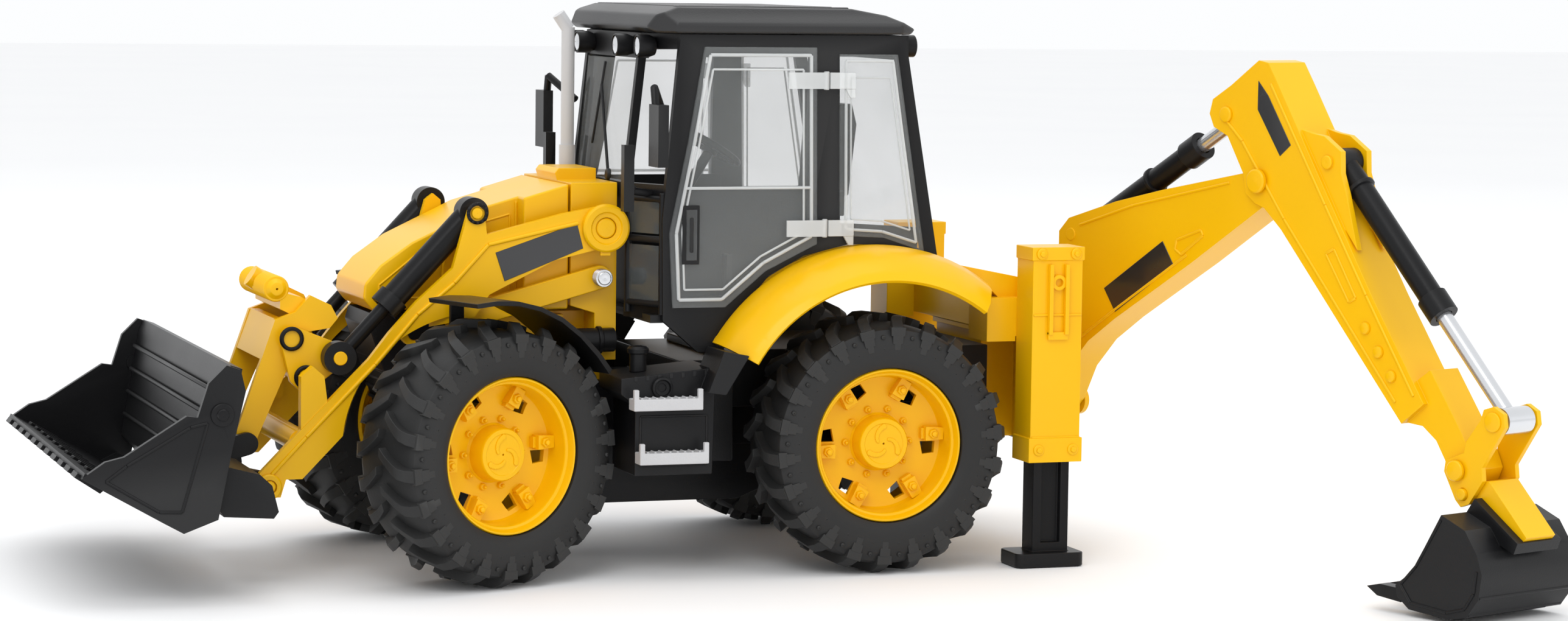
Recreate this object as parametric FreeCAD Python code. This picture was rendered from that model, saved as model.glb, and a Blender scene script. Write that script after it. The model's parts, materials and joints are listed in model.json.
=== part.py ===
import FreeCAD, Part
import math
import os

# Toy backhoe loader, class 1:16, millimetres, shown as it stands ready to dig:
# front wheels steered left, loader half raised, stabilisers down, backhoe slewed left.
# Working frame: +X forward, +Y the toy's left, +Z up, rear axle above X = 0,
# centreline on Y = 0, floor on Z = 0. At the end every piece moves by -STAND_CENTRE,
# so that the written frame has its origin under the middle of the whole toy.
V = FreeCAD.Vector

# --- driving dimensions -------------------------------------------------------------
TYRE_R = 49.0            # tyre outside radius
TYRE_W = 38.0            # tyre width
LIP_R = 29.3             # rim lip radius
TRACK_HALF = 64.5        # wheel centre plane from the centreline
KINGPIN_X = 155.2        # kingpin axis, ahead of the rear axle
KINGPIN_Y = 58.0         # kingpin axis, from the centreline
STEER = 20.7             # front wheels at rest, degrees to the left
FIT = 0.05               # radial running clearance of every pin

ARM_IN, ARM_OUT = 38.8, 42.0      # loader arm side plate, inner and outer face
RAM_Y = 33.4                      # tilt ram centre planes
LIFT = (101.5, 130.0)             # loader arm pivot on the tower
STAY = (102.0, 111.0)             # lift stay pivot on the tower
STAY_PIN = (160.0, 95.0)          # arm pin that runs in the stay's slot
RAM_TOP = (151.5, 136.0)          # tilt ram pin in the arm's upright ears
CRANK = (213.5, 74.5)             # bell crank pivot on the arms
CRANK_STEP = (5.5, 14.5)          # crank pivot to link pin, same on crank and bucket
CRANK_RAM = (202.0, 82.0)         # tilt ram pin on the bell crank
BUCKET = (230.0, 35.5)            # bucket pivot at the arm tips
CLAM = (257.2, 68.8)              # clam pivot on the bucket sides
BUCKET_HALF = 93.0                # half the loader bucket's width

SLEW_X = -96.0           # backhoe slew axis
SLEW = 70.0              # backhoe at rest, degrees to the left of straight back
BOOM_FOOT = (12.0, 56.0)          # backhoe points are (reach from the slew axis, height)
BOOM_TIP = (129.0, 151.2)
DIPPER_RAM_FOOT = (25.0, 124.6)
DIPPER_RAM_EYE = (111.4, 175.6)
BUCKET_RAM_FOOT = (162.4, 159.8)
BUCKET_RAM_EYE = (246.2, 71.3)
LEVER = (230.3, 52.3)             # digging bucket pivot at the dipper tip
HITCH_PIN = (233.1, 44.0)
BOOM_HALF, DIPPER_HALF = 8.0, 10.0
DIG_HALF = 26.0                   # half the digging bucket's width

CAB_HALF = 60.0          # cab side faces
HOOD_HALF = 33.0         # bonnet half width at the tower
NOSE_HALF = 24.0         # bonnet half width between the tilt rams
FENDER_R = 75.0          # rear mudguard crown radius
CASING_X = (-78.8, -58.2)
CASING_Y = (64.0, 80.0)

STAND_CENTRE = V(50.14, 76.49, 0.0)     # plan centre of the whole toy at rest

PARTS = {}


# --- small helpers ------------------------------------------------------------------
def box(x0, x1, y0, y1, z0, z1):
    return Part.makeBox(x1 - x0, y1 - y0, z1 - z0, V(x0, y0, z0))


def face_xz(points, y):
    corners = [V(x, y, z) for x, z in points]
    return Part.Face(Part.makePolygon(corners + corners[:1]))


def plate(points, y0, y1):
    """Flat plate with an outline in XZ, from y0 to y1."""
    return face_xz(points, y0).extrude(V(0, y1 - y0, 0))


def pin(centre, radius, y0, y1):
    """Round bar along Y through the XZ point centre."""
    return Part.makeCylinder(radius, y1 - y0, V(centre[0], y0, centre[1]), V(0, 1, 0))


def rod(start, end, radius, gap=0.0):
    """Round bar between two 3-D points, starting gap short of the first."""
    line = end.sub(start)
    unit = V(line).normalize()
    return Part.makeCylinder(radius, line.Length - gap, start.add(unit * gap), unit)


def fuse(shapes):
    first = shapes[0]
    return first.multiFuse(shapes[1:]).removeSplitter() if len(shapes) > 1 else first


def mirror(shape):
    return shape.mirror(V(0, 0, 0), V(0, 1, 0))


def both(shape):
    return [shape, mirror(shape)]


def turned(shape, centre, axis, degrees):
    copy = shape.copy()
    copy.rotate(centre, axis, degrees)
    return copy


def along(start, end, distance):
    """XZ point at a distance from start towards end."""
    length = math.hypot(end[0] - start[0], end[1] - start[1])
    share = distance / length
    return (start[0] + (end[0] - start[0]) * share, start[1] + (end[1] - start[1]) * share)


def bar_between(start, end, half, y0, y1):
    """Flat link with round ends around two XZ points."""
    length = math.hypot(end[0] - start[0], end[1] - start[1])
    nx = -(end[1] - start[1]) / length * half
    nz = (end[0] - start[0]) / length * half
    sides = [(start[0] + nx, start[1] + nz), (end[0] + nx, end[1] + nz),
             (end[0] - nx, end[1] - nz), (start[0] - nx, start[1] - nz)]
    return fuse([plate(sides, y0, y1), pin(start, half, y0, y1), pin(end, half, y0, y1)])


def keep(name, *shapes):
    PARTS[name] = shapes[0] if len(shapes) == 1 else Part.makeCompound(list(shapes))


# --- wheels ---------------------------------------------------------------------------
HUB_BORE = 3.0


def ring_about_y(profile):
    """Solid of revolution about the Y axis from (radius, y) points."""
    corners = [V(r, y, 0) for r, y in profile]
    return Part.Face(Part.makePolygon(corners + corners[:1])).revolve(V(0, 0, 0), V(0, 1, 0), 360)


def tyre():
    """Tyre out to the tops of its lugs, seated in the rim between two lips."""
    half = TYRE_W / 2
    return ring_about_y([(LIP_R - 1.3, -16.5), (36, -half), (43.5, -half + 0.4), (47.5, -half + 2.2),
                         (TYRE_R, -half + 5.0), (TYRE_R, half - 5.0), (47.5, half - 2.2),
                         (43.5, half - 0.4), (36, half), (LIP_R + 0.1, 16.2), (LIP_R + 0.1, 14.6),
                         (LIP_R - 1.3, 12.9)])


def rim():
    """Deep dished rim, outer side towards +Y, centred on the wheel's middle plane."""
    shell = ring_about_y([(LIP_R - 3.0, -16.4), (LIP_R - 1.4, -16.4), (LIP_R - 1.4, 13.0),
                          (LIP_R, 14.7), (LIP_R - 1.6, 14.7), (LIP_R - 4.2, 6.2),
                          (LIP_R - 4.2, 3.4), (LIP_R - 3.0, 1.4)])
    disc = ring_about_y([(12, 1.4), (LIP_R - 2.6, 1.4), (LIP_R - 2.6, 3.6), (12, 3.6)])
    windows = []
    for index in range(6):
        window = box(17.5, 24.0, 0.5, 5.0, -3.2, 3.2)
        windows.append(turned(window, V(0, 0, 0), V(0, 1, 0), 60.0 * index))
    disc = disc.cut(Part.makeCompound(windows))
    hub = ring_about_y([(HUB_BORE + FIT, -1.0), (12.5, -1.0), (12.5, 5.5), (9.4, 6.5),
                        (9.0, 11.0), (0, 11.0), (0, 8.0), (HUB_BORE + FIT, 8.0)])
    return fuse([shell, disc, hub])


def wheels():
    tyre_shape, rim_shape = tyre(), rim()
    for side, sign in (("left", 1), ("right", -1)):
        for name, shape in (("tyre", tyre_shape), ("rim", rim_shape)):
            shape = shape if sign > 0 else mirror(shape)
            rear = shape.copy()
            rear.translate(V(0, sign * TRACK_HALF, TYRE_R))
            keep(name + "_rear_" + side, rear)
            front = shape.copy()
            front.translate(V(KINGPIN_X, sign * TRACK_HALF, TYRE_R))
            keep(name + "_front_" + side, steered(front, sign))


def steered(shape, sign):
    """Turn a front piece about its own kingpin to the rest steering angle."""
    return turned(shape, V(KINGPIN_X, sign * KINGPIN_Y, 0), V(0, 0, 1), STEER)


# --- chassis and axles ----------------------------------------------------------------
def chassis():
    spine = box(-58, 150, -24, 24, 44, 70)
    rod_channel = box(129, 142, -30, 30, 47.4, 56)
    floor_box = box(50, 72, -43, 43, 40, 79)
    rear_box = box(-58, 52, -36, 36, 60, 82)
    sump = plate([(20, 44), (20, 30), (40, 22), (96, 22), (112, 32), (112, 44)], -20, 20)
    keep("chassis_frame", fuse([spine, floor_box, rear_box, sump]).cut(rod_channel))
    axle_tube = fuse([box(-10, 10, -40, 40, 42, 56), pin((0, TYRE_R), 8, -44, 44)])
    shaft = pin((0, TYRE_R), HUB_BORE, -72.2, 72.2)
    keep("rear_axle", fuse([axle_tube, shaft]).cut(box(-58, 52, -36, 36, 60, 82)).cut(spine))
    front_axle()


def front_axle():
    beam = box(KINGPIN_X - 7, KINGPIN_X + 7, -46, 46, 44, 54)
    pads = []
    for sign in (-1, 1):
        for z0 in (36.0, 56.0):
            pads.append(Part.makeCylinder(5.0, 5, V(KINGPIN_X, sign * KINGPIN_Y, z0)))
            reach = sorted((sign * 44, sign * KINGPIN_Y))
            pads.append(box(KINGPIN_X - 5, KINGPIN_X + 5, reach[0], reach[1], z0, z0 + 5))
        post = sorted((sign * 44, sign * 46))
        pads.append(box(KINGPIN_X - 5, KINGPIN_X + 5, post[0], post[1], 36, 61))
        pads.append(Part.makeCylinder(2.0, 25, V(KINGPIN_X, sign * KINGPIN_Y, 36)))
    keep("front_axle", fuse([beam] + pads).cut(box(-58, 150, -24, 24, 44, 70)))


STEER_ARM = 19.0         # steering arm length behind each kingpin


def steering():
    for side, sign in (("left", 1), ("right", -1)):
        king = V(KINGPIN_X, sign * KINGPIN_Y, 0)
        block = Part.makeCylinder(5.0, 14.0, V(king.x, king.y, 41.5))
        ear = sorted((king.y, sign * (TRACK_HALF - 1.6)))
        outward = box(king.x - 5, king.x + 5, ear[0], ear[1], 43, 55)
        ends = sorted((sign * 60.0, sign * (TRACK_HALF + 7.7)))
        shaft = pin((king.x, TYRE_R), HUB_BORE, ends[0], ends[1])
        arm = box(king.x - STEER_ARM - 2.5, king.x - 3, king.y - 1.8, king.y + 1.8, 45, 49)
        arm_pin = Part.makeCylinder(1.6, 9.0, V(king.x - STEER_ARM, king.y, 45))
        ahead = sorted((sign * 56, sign * 62))
        lug = box(king.x + 3, king.x + 7.5, ahead[0], ahead[1], 44, 54)
        knuckle = fuse([block, outward, shaft, arm, arm_pin, lug])
        knuckle = knuckle.cut(Part.makeCylinder(2.0 + FIT, 30, V(king.x, king.y, 34)))
        keep("steering_knuckle_" + side, steered(knuckle, sign))
        keep("front_fender_" + side, steered(front_fender(sign), sign))
    tie_rod()


def arm_pin_place(sign):
    """Steering arm pin, turned to the rest steering angle."""
    angle = math.radians(STEER)
    return V(KINGPIN_X - STEER_ARM * math.cos(angle),
             sign * KINGPIN_Y - STEER_ARM * math.sin(angle), 49.5)


def tie_rod():
    left, right = arm_pin_place(1), arm_pin_place(-1)
    eyes = [Part.makeCylinder(2.9, 3.6, left), Part.makeCylinder(2.9, 3.6, right)]
    low = V(0, 0, 1.8)
    bar = rod(left.add(low), right.add(low), 1.7)
    holes = [Part.makeCylinder(1.6 + FIT, 6, left.add(V(0, 0, -1))),
             Part.makeCylinder(1.6 + FIT, 6, right.add(V(0, 0, -1)))]
    keep("tie_rod", fuse(eyes + [bar]).cut(Part.makeCompound(holes)))


FENDER_CURVE = [(17, 105.9), (8, 106.6), (-2, 106.0), (-12, 103.6), (-22, 99.2), (-31, 93.0),
                (-39, 85.6), (-45, 78.6)]


def front_fender(sign):
    """Thin curved mudguard over the front tyre, on a bent post from the knuckle."""
    def part(x0, x1, y0, y1, z0, z1):
        low, high = sorted((sign * y0, sign * y1))
        return box(KINGPIN_X + x0, KINGPIN_X + x1, low, high, z0, z1)
    over = [(KINGPIN_X + x, z) for x, z in FENDER_CURVE]
    under = [(KINGPIN_X + x * 0.97, z - 1.7) for x, z in reversed(FENDER_CURVE)]
    inner, outer = sorted((sign * (TRACK_HALF - 14), sign * (TRACK_HALF + 17)))
    guard = plate(over + under, inner, outer)
    riser = part(7.5, 12, 56, 62, 44, 66)
    shelf = part(-3, 12, 43.8, 62, 62, 66)
    post = part(-3, 3, 43.8, 45.2, 62, 105)
    top = part(-3, 3, 43.8, 52, 102.6, 105)
    return fuse([guard, riser, shelf, post, top])


# --- tower, bonnet, cab ---------------------------------------------------------------
def tower():
    column = [(94.4, 79), (94.4, 146.8), (112.6, 146.6), (112.6, 100), (103, 97), (103, 79)]
    cheeks = both(plate(column, 20, HOOD_HALF + 0.6))
    core = box(94.4, 150, -20, 20, 70, 97)
    top = plate([(94.4, 140), (94.4, 146.8), (112.6, 146.6), (112.6, 140)], -20, 20)
    front = box(112.6, 140, -24.5, 24.5, 79, 96)
    scoop = plate([(97, 146.7), (97, 151.2), (112, 151.2), (113.4, 149.4), (112.6, 146.6)], -14, 14)
    pins = both(pin(LIFT, 4.0, HOOD_HALF, ARM_OUT + 0.2)) + both(pin(STAY, 2.2, HOOD_HALF, 38.2))
    keep("loader_tower", fuse(cheeks + [core, top, front, scoop] + pins))


def bonnet():
    """Shell with the engine space open below; hinged at its rear top edge."""
    outside = [(113.2, 146.3), (145, 137.0), (172, 124.0), (184, 115.5), (190, 108.5), (190.5, 103),
               (187, 98.6), (113.2, 98.6)]
    inside = [(112, 144.2), (144.4, 135.0), (171, 122.0), (182.6, 113.9), (188, 107.5), (188.3, 103.6),
              (186, 100.8), (186, 90), (112, 90)]
    slim = plate(outside, -NOSE_HALF, NOSE_HALF)
    wide = plate(outside, -HOOD_HALF, HOOD_HALF).common(box(110, 131, -40, 40, 90, 160))
    hollow = plate(inside, -NOSE_HALF + 1.8, NOSE_HALF - 1.8)
    wide_hollow = plate(inside, -HOOD_HALF + 1.8, HOOD_HALF - 1.8).common(box(110, 129.2, -40, 40, 80, 160))
    keep("bonnet", fuse([slim, wide]).cut(hollow.fuse(wide_hollow)))
    grille = plate([(150.5, 58), (150.5, 97), (186, 97), (187.5, 92), (182, 76), (176, 58)], -21, 21)
    keep("radiator_grille", grille.cut(box(KINGPIN_X - 8, KINGPIN_X + 8, -50, 50, 40, 62)))


def exhaust():
    wide = Part.makeCylinder(3.2, 12, V(99, -19.5, 146.6))
    thin = Part.makeCylinder(2.6, 46, V(99, -19.5, 158.6))
    tip = turned(Part.makeCylinder(2.6, 7, V(99, -19.5, 204)), V(99, -19.5, 204), V(0, 1, 0), 35)
    saddle = box(95.4, 104, -24, -15, 146.6, 148.8)
    keep("exhaust_stack", fuse([wide, thin, tip, saddle]).cut(PARTS["loader_tower"]))


ROOF = [(-15, 204), (-17.4, 206), (-5, 211.2), (8, 213.6), (78, 213.8), (86, 211), (89, 206), (86, 204)]
CAB_SIDE = [(70, 84), (84, 96), (84.5, 134), (78, 203.6), (-12, 203.6), (-27.5, 113), (-20, 118.5),
            (-5, 123.7), (10, 124.2), (28, 120), (42, 112.5), (54, 99), (60, 84)]
DOOR = [(80.5, 101), (82, 129), (75, 163), (68.8, 199), (24.5, 199), (23.5, 124.5), (44, 114.5), (60, 101)]
QUARTER = [(15, 196.5), (-8.5, 196.5), (-20.5, 121), (-4, 126.5), (14, 127.5)]


def shrink(points, step):
    """Outline moved inward towards its middle by about step."""
    cx = sum(p[0] for p in points) / len(points)
    cz = sum(p[1] for p in points) / len(points)
    inward = []
    for x, z in points:
        reach = math.hypot(x - cx, z - cz)
        inward.append((x + (cx - x) * step / reach, z + (cz - z) * step / reach))
    return inward


def cab():
    """Two glazed side frames, and the cross frame with the floor between them."""
    side = plate(CAB_SIDE, CAB_HALF - 3, CAB_HALF)
    side = side.cut(plate(shrink(DOOR, 4), 50, 70)).cut(plate(shrink(QUARTER, 1), 50, 70))
    posts = []
    for z0, z1, x_side, x0 in ((96, 101, 82, 93), (141, 147, 82, 93.2), (198, 203.6, 77, 86.5)):
        outline = [V(x_side - 3, 57, z0), V(x_side, 60, z0), V(x0, 36, z0), V(x0 - 3, 34, z0)]
        posts.append(Part.Face(Part.makePolygon(outline + outline[:1])).extrude(V(0, 0, z1 - z0)))
    foot = [V(89.8, 32.8, 142), V(92.9, 32.8, 142), V(92.9, 35.8, 142), V(89.8, 35.8, 142)]
    posts.append(Part.Face(Part.makePolygon(foot + foot[:1])).extrude(V(-6.6, 0, 60)))
    nose_space = box(88.4, 96, -37, 37, 94, 140)
    frame = fuse([side] + posts).cut(nose_space)
    rails = [box(83, 86.5, -36, 36, 194, 203.6), box(89.5, 93.2, -36, 36, 141, 147),
             box(-14.4, -8, -57, 57, 194.4, 203.6)]
    tail = box(-30, -24, -57, 57, 112, 118)
    floor = box(56, 88, -57, 57, 95, 98)
    deck = box(-24, 58, -40, 40, 117, 120.5)
    wall = box(56, 58, -57, 57, 95, 120.5)
    tub = fuse([tail, floor, deck, wall])
    keep("cab_side_left", frame)
    keep("cab_side_right", mirror(frame))
    crossing = [piece.cut(frame).cut(mirror(frame)) for piece in rails + [tub]]
    keep("cab_cross_frame", *crossing)
    keep("cab_roof", roof())


def cab_frame():
    return Part.makeCompound([PARTS[name] for name in ("cab_side_left", "cab_side_right", "cab_cross_frame")])


def roof():
    slab = plate(ROOF, -62, 62)
    plan = [V(-20, -55, 200), V(-10, -62, 200), V(80, -62, 200), V(90, -50, 200), V(90, 50, 200),
            V(80, 62, 200), V(-10, 62, 200), V(-20, 55, 200)]
    crown = Part.Face(Part.makePolygon(plan + plan[:1])).extrude(V(0, 0, 20))
    slopes = [V(0, 62.2, 203), V(0, 62.2, 207.6), V(0, 54, 214.4), V(0, 70, 214.4), V(0, 70, 203)]
    eave = Part.Face(Part.makePolygon(slopes + slopes[:1])).extrude(V(140, 0, 0))
    eave.translate(V(-40, 0, 0))
    return slab.common(crown).cut(Part.makeCompound(both(eave)))


def glazing():
    low = 147.2
    arc = Part.Arc(V(91.3, -32, low), V(94.0, 0, low), V(91.3, 32, low)).toShape()
    inner = Part.Arc(V(89.9, -32, low), V(92.6, 0, low), V(89.9, 32, low)).toShape()
    ends = [Part.makeLine(V(91.3, 32, low), V(89.9, 32, low)),
            Part.makeLine(V(89.9, -32, low), V(91.3, -32, low))]
    pane = Part.Face(Part.Wire(Part.__sortEdges__([arc, inner] + ends))).extrude(V(-4.2, 0, 46.4))
    keep("windscreen", pane)
    keep("quarter_windows", *both(plate(QUARTER, CAB_HALF + 0.02, CAB_HALF + 1.5)))
    lean = math.degrees(math.atan2(15.5, 90.6))
    back = box(-2.0, -0.5, -52, 52, -75, 0)
    back = turned(back, V(0, 0, 0), V(0, 1, 0), lean)
    back.translate(V(-14.2, 0, 193.8))
    keep("rear_window", back)
    for side, sign in (("left", 1), ("right", -1)):
        pane = plate(DOOR, CAB_HALF + 0.35, CAB_HALF + 1.9)
        straps = [box(20.5, 30, CAB_HALF + 0.35, CAB_HALF + 2.6, z, z + 5) for z in (128, 184)]
        straps += [Part.makeCylinder(0.8, 5, V(20.5, CAB_HALF + 1.2, z)) for z in (128, 184)]
        handle = box(72, 76, CAB_HALF + 1.9, CAB_HALF + 3.6, 119, 138)
        door = fuse([pane, handle] + straps)
        keep("door_" + side, door if sign > 0 else mirror(door))


def cab_fittings():
    base = box(2, 26, -9, 9, 120.6, 132)
    cushion = box(-4, 28, -17, 17, 132, 142)
    back = plate([(-6, 140), (4, 140), (2, 170), (-2, 176), (-7, 176), (-9, 168)], -16, 16)
    keep("driver_seat", fuse([base, cushion, back]))
    console = plate([(60, 98), (84, 98), (84, 140), (76, 144), (66, 132), (62, 112)], -13, 13)
    console = console.fuse(rod(V(66, 0, 125.5), V(46, 0, 158), 2.0))
    keep("steering_console", console)
    keep("steering_wheel", steering_wheel())
    lamps = []
    for x, y, lead in ((86.6, 26, 1), (83.4, 44, 1), (-14.4, 44, -1)):
        lamp = Part.makeCylinder(4.2, 6.5, V(x, y, 198.8 if lead > 0 else 199.4), V(lead, 0, 0))
        lamps += both(lamp.cut(cab_frame()))
    keep("work_lights", *lamps)
    low = fuse([box(94.5, 98.5, 52, 56, 137, 162), rod(V(93, 50, 145), V(96, 54, 145), 1.5),
                rod(V(86.2, 50.4, 143.5), V(94, 51.5, 144.5), 1.5)])
    high = fuse([rod(V(84.6, 58.2, 175), V(92, 72, 184), 1.5), rod(V(92, 72, 184), V(92, 76, 170), 1.5),
                 box(90, 94, 72, 84, 155, 178)])
    keep("mirrors", *(both(low.cut(cab_frame())) + both(high.cut(cab_frame()))))


def steering_wheel():
    hoop = Part.makeTorus(12, 1.3)
    spokes = [box(-12, 12, -1.2, 1.2, -0.8, 0.8), box(-1.2, 1.2, 0, 12, -0.8, 0.8)]
    hub = Part.makeCylinder(3.4, 3.4, V(0, 0, -2.4))
    socket = Part.makeCylinder(2.0 + FIT, 2.8, V(0, 0, -3))
    wheel = fuse([hoop, hub] + spokes).cut(socket)
    wheel.rotate(V(0, 0, 0), V(0, 1, 0), -math.degrees(math.atan2(16, 26)))
    wheel.translate(V(45.84, 0, 158.26))
    return wheel


# --- steps, mudguards, rear frame, stabilisers ------------------------------------------
def body_sides():
    toe = plate([(57, 84.5), (67, 86.5), (73, 71), (66, 70)], 62, 83)
    low = plate([(68, 39.4), (98.5, 39.4), (98.5, 66), (104, 70), (104, 76), (67, 79.4)], 44, 73)
    post = Part.makeCylinder(3.2, 9, V(93, 58, 75)).cut(low)
    keep("rear_fenders", *both(rear_fender()))
    shape = fuse([low, toe]).cut(PARTS["rear_fenders"])
    keep("step_boxes", *(both(shape) + both(post)))
    treads = []
    for x0, z in ((74, 64.4), (71.5, 44.2)):
        tread = box(x0, x0 + 27, 73, 80, z, z + 4.4)
        for x in (x0, x0 + 25):
            tread = tread.fuse(box(x, x + 2, 78, 80, z + 4.4, z + 8))
        treads += both(tread)
    keep("step_treads", *treads)


def rear_fender():
    """Mudguard turned about the rear axle line, crowned towards its outer edge."""
    profile = [(FENDER_R - 2, 44), (FENDER_R, 44), (FENDER_R, 66), (FENDER_R - 2.4, 74), (FENDER_R - 8, 81),
               (FENDER_R - 12, 83.5), (FENDER_R - 13, 82), (FENDER_R - 9.4, 79.6), (FENDER_R - 4.2, 72.8),
               (FENDER_R - 2, 66)]
    corners = [V(r, y, 0) for r, y in profile]
    arch = Part.Face(Part.makePolygon(corners + corners[:1])).revolve(V(0, 0, 0), V(0, 1, 0), -96)
    arch.rotate(V(0, 0, 0), V(0, 1, 0), -31)
    arch.translate(V(0, 0, TYRE_R))
    cab_space = box(-60, 90, CAB_HALF - 3.2, CAB_HALF + 0.4, 90, 240)
    clear = arch.cut(cab_space).cut(cab_frame()).cut(PARTS["quarter_windows"])
    return Part.makeCompound([solid for solid in clear.Solids if solid.Volume > 300])


def rear_frame():
    cross = box(-80.5, -58, -64, 64, 88, 103)
    riser = box(-80.5, -74, -50, 50, 44, 88)
    tail = box(-74, -58.2, -24, 24, 44, 88)
    wings = [box(-58, -46, 45, 64, 86, 103)]
    slope = plate([(-30.4, 111), (-30.4, 116.6), (-64, 110), (-64, 103), (-46, 103)], 44, 59.6)
    slope = slope.cut(pin((0, TYRE_R), FENDER_R + 0.05, 30, 62))
    rails = [box(-85.2, -80.5, -50, 50, z, z + 4) for z in (44.4, 92.6)]
    shape = fuse([cross, riser, tail] + both(wings[0]) + both(slope) + rails)
    keep("rear_frame", shape.cut(box(-60, 60, -40.2, 40.2, 40, 86)))
    stabilisers()


def stabilisers():
    x0, x1 = CASING_X
    y0, y1 = CASING_Y
    tube = box(x0, x1, y0, y1, 44, 123).cut(box(x0 + 2.4, x1 - 2.4, y0 + 2.4, y1 - 2.4, 40, 120.6))
    collar = box(x0 - 0.8, x1 + 0.8, y0, y1 + 0.8, 40.6, 50)
    collar = collar.cut(box(x0 + 2.4, x1 - 2.4, y0 + 2.4, y1 - 2.4, 40, 51))
    lid = box(x0 - 0.6, x1 + 0.6, y0, y1 + 0.6, 118.5, 123.6)
    lid = lid.cut(box(x0, x1, y0, y1, 118, 123))
    casing = fuse([tube, collar, lid])
    keep("stabiliser_casings", *both(casing))
    shank = box(x0 + 2.8, x1 - 2.8, y0 + 2.8, y1 - 2.8, 3, 87)
    groove = box(x0 + 6.4, x1 - 6.4, y1 - 5.4, y1, 9, 96)
    foot = box(x0 - 2.4, x1 + 5.2, y0 - 1, y1 + 2, 0, 5.4)
    foot = foot.makeFillet(3.0, [e for e in foot.Edges if abs(e.Vertexes[0].Z - e.Vertexes[1].Z) > 1])
    leg = fuse([shank.cut(groove), foot])
    keep("stabiliser_leg_left", leg)
    keep("stabiliser_leg_right", mirror(leg))


# --- front loader -----------------------------------------------------------------------
ARM_SHAPE = [(95, 125.5), (96, 136.5), (101.5, 138.6), (118, 135.6), (147.6, 128), (148.6, 137),
             (151.5, 139.4), (154.6, 137), (160.6, 115.5), (174.4, 103.2), (184.8, 91.8), (192.5, 82),
             (200.3, 74.2), (217, 57.4), (233.5, 40.6), (233, 36), (230, 31.4), (225.6, 31.4), (223.6, 38),
             (217.5, 38), (198.6, 57.4), (193, 73), (187, 82.6), (180, 89.4), (170, 93.2), (152, 97.2),
             (146.5, 105.4), (121, 118), (104, 122)]


def loader_arms():
    side = fuse([plate(ARM_SHAPE, ARM_IN, ARM_OUT), pin(BUCKET, 4.8, ARM_IN, ARM_OUT)])
    side = side.cut(pin(LIFT, 4.0 + FIT, 30, 50))
    ear = plate([(147, 106), (148.6, 137), (151.5, 139.4), (154.6, 137), (160.6, 115.5), (161, 106)], 25, 28)
    web = box(147.5, 160.5, 25, ARM_IN + 0.2, 106, 108.4)
    ram_pin = pin(RAM_TOP, 2.6, 25, ARM_OUT)
    stay_pin = pin(STAY_PIN, 2.0, 34.0, ARM_IN + 0.2)
    bucket_pin = pin(BUCKET, 2.5, 31.6, ARM_IN + 0.2)
    boss = pin(LIFT, 9.2, ARM_OUT, ARM_OUT + 1.4).cut(pin(LIFT, 4.0 + FIT, 30, 60))
    halves = []
    for shape in (side, ear, web, ram_pin, stay_pin, bucket_pin, boss):
        halves += both(shape)
    crank_shaft = pin(CRANK, 3.0, -ARM_IN - 0.2, ARM_IN + 0.2)
    torque_tube = pin((217.5, 51.5), 4.5, -ARM_IN - 0.2, ARM_IN + 0.2)
    bracket = plate([(208, 66), (209.2, 76), (213.5, 79.8), (218, 76), (218, 56), (208, 60)], 37.0, ARM_OUT - 0.4)
    arms = fuse(halves + both(bracket) + [crank_shaft, torque_tube])
    keep("loader_arms", arms.cut(Part.makeCompound(both(wheel_space()))))


def wheel_space():
    """Room the front tyre needs at full lock, where its tread turns in under the arm."""
    swept = pin((KINGPIN_X, TYRE_R), TYRE_R + 0.9, TRACK_HALF - 19.6, TRACK_HALF + 19.6)
    return turned(swept, V(KINGPIN_X, KINGPIN_Y, 0), V(0, 0, 1), -STEER)


def lift_stays():
    reach = math.hypot(STAY_PIN[0] - STAY[0], STAY_PIN[1] - STAY[1])
    far = along(STAY, STAY_PIN, reach + 15.5)
    bar = bar_between(STAY, far, 4.5, 34.4, 38.0)
    slot = bar_between(along(STAY, STAY_PIN, reach - 4), along(STAY, STAY_PIN, reach + 14.2), 3.0, 30, 40)
    keep("lift_stays", *both(bar.cut(slot).cut(pin(STAY, 2.2 + FIT, 30, 40))))


def link_pin():
    return (CRANK[0] + CRANK_STEP[0], CRANK[1] + CRANK_STEP[1])


def bucket_ear():
    return (BUCKET[0] + CRANK_STEP[0], BUCKET[1] + CRANK_STEP[1])


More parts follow.
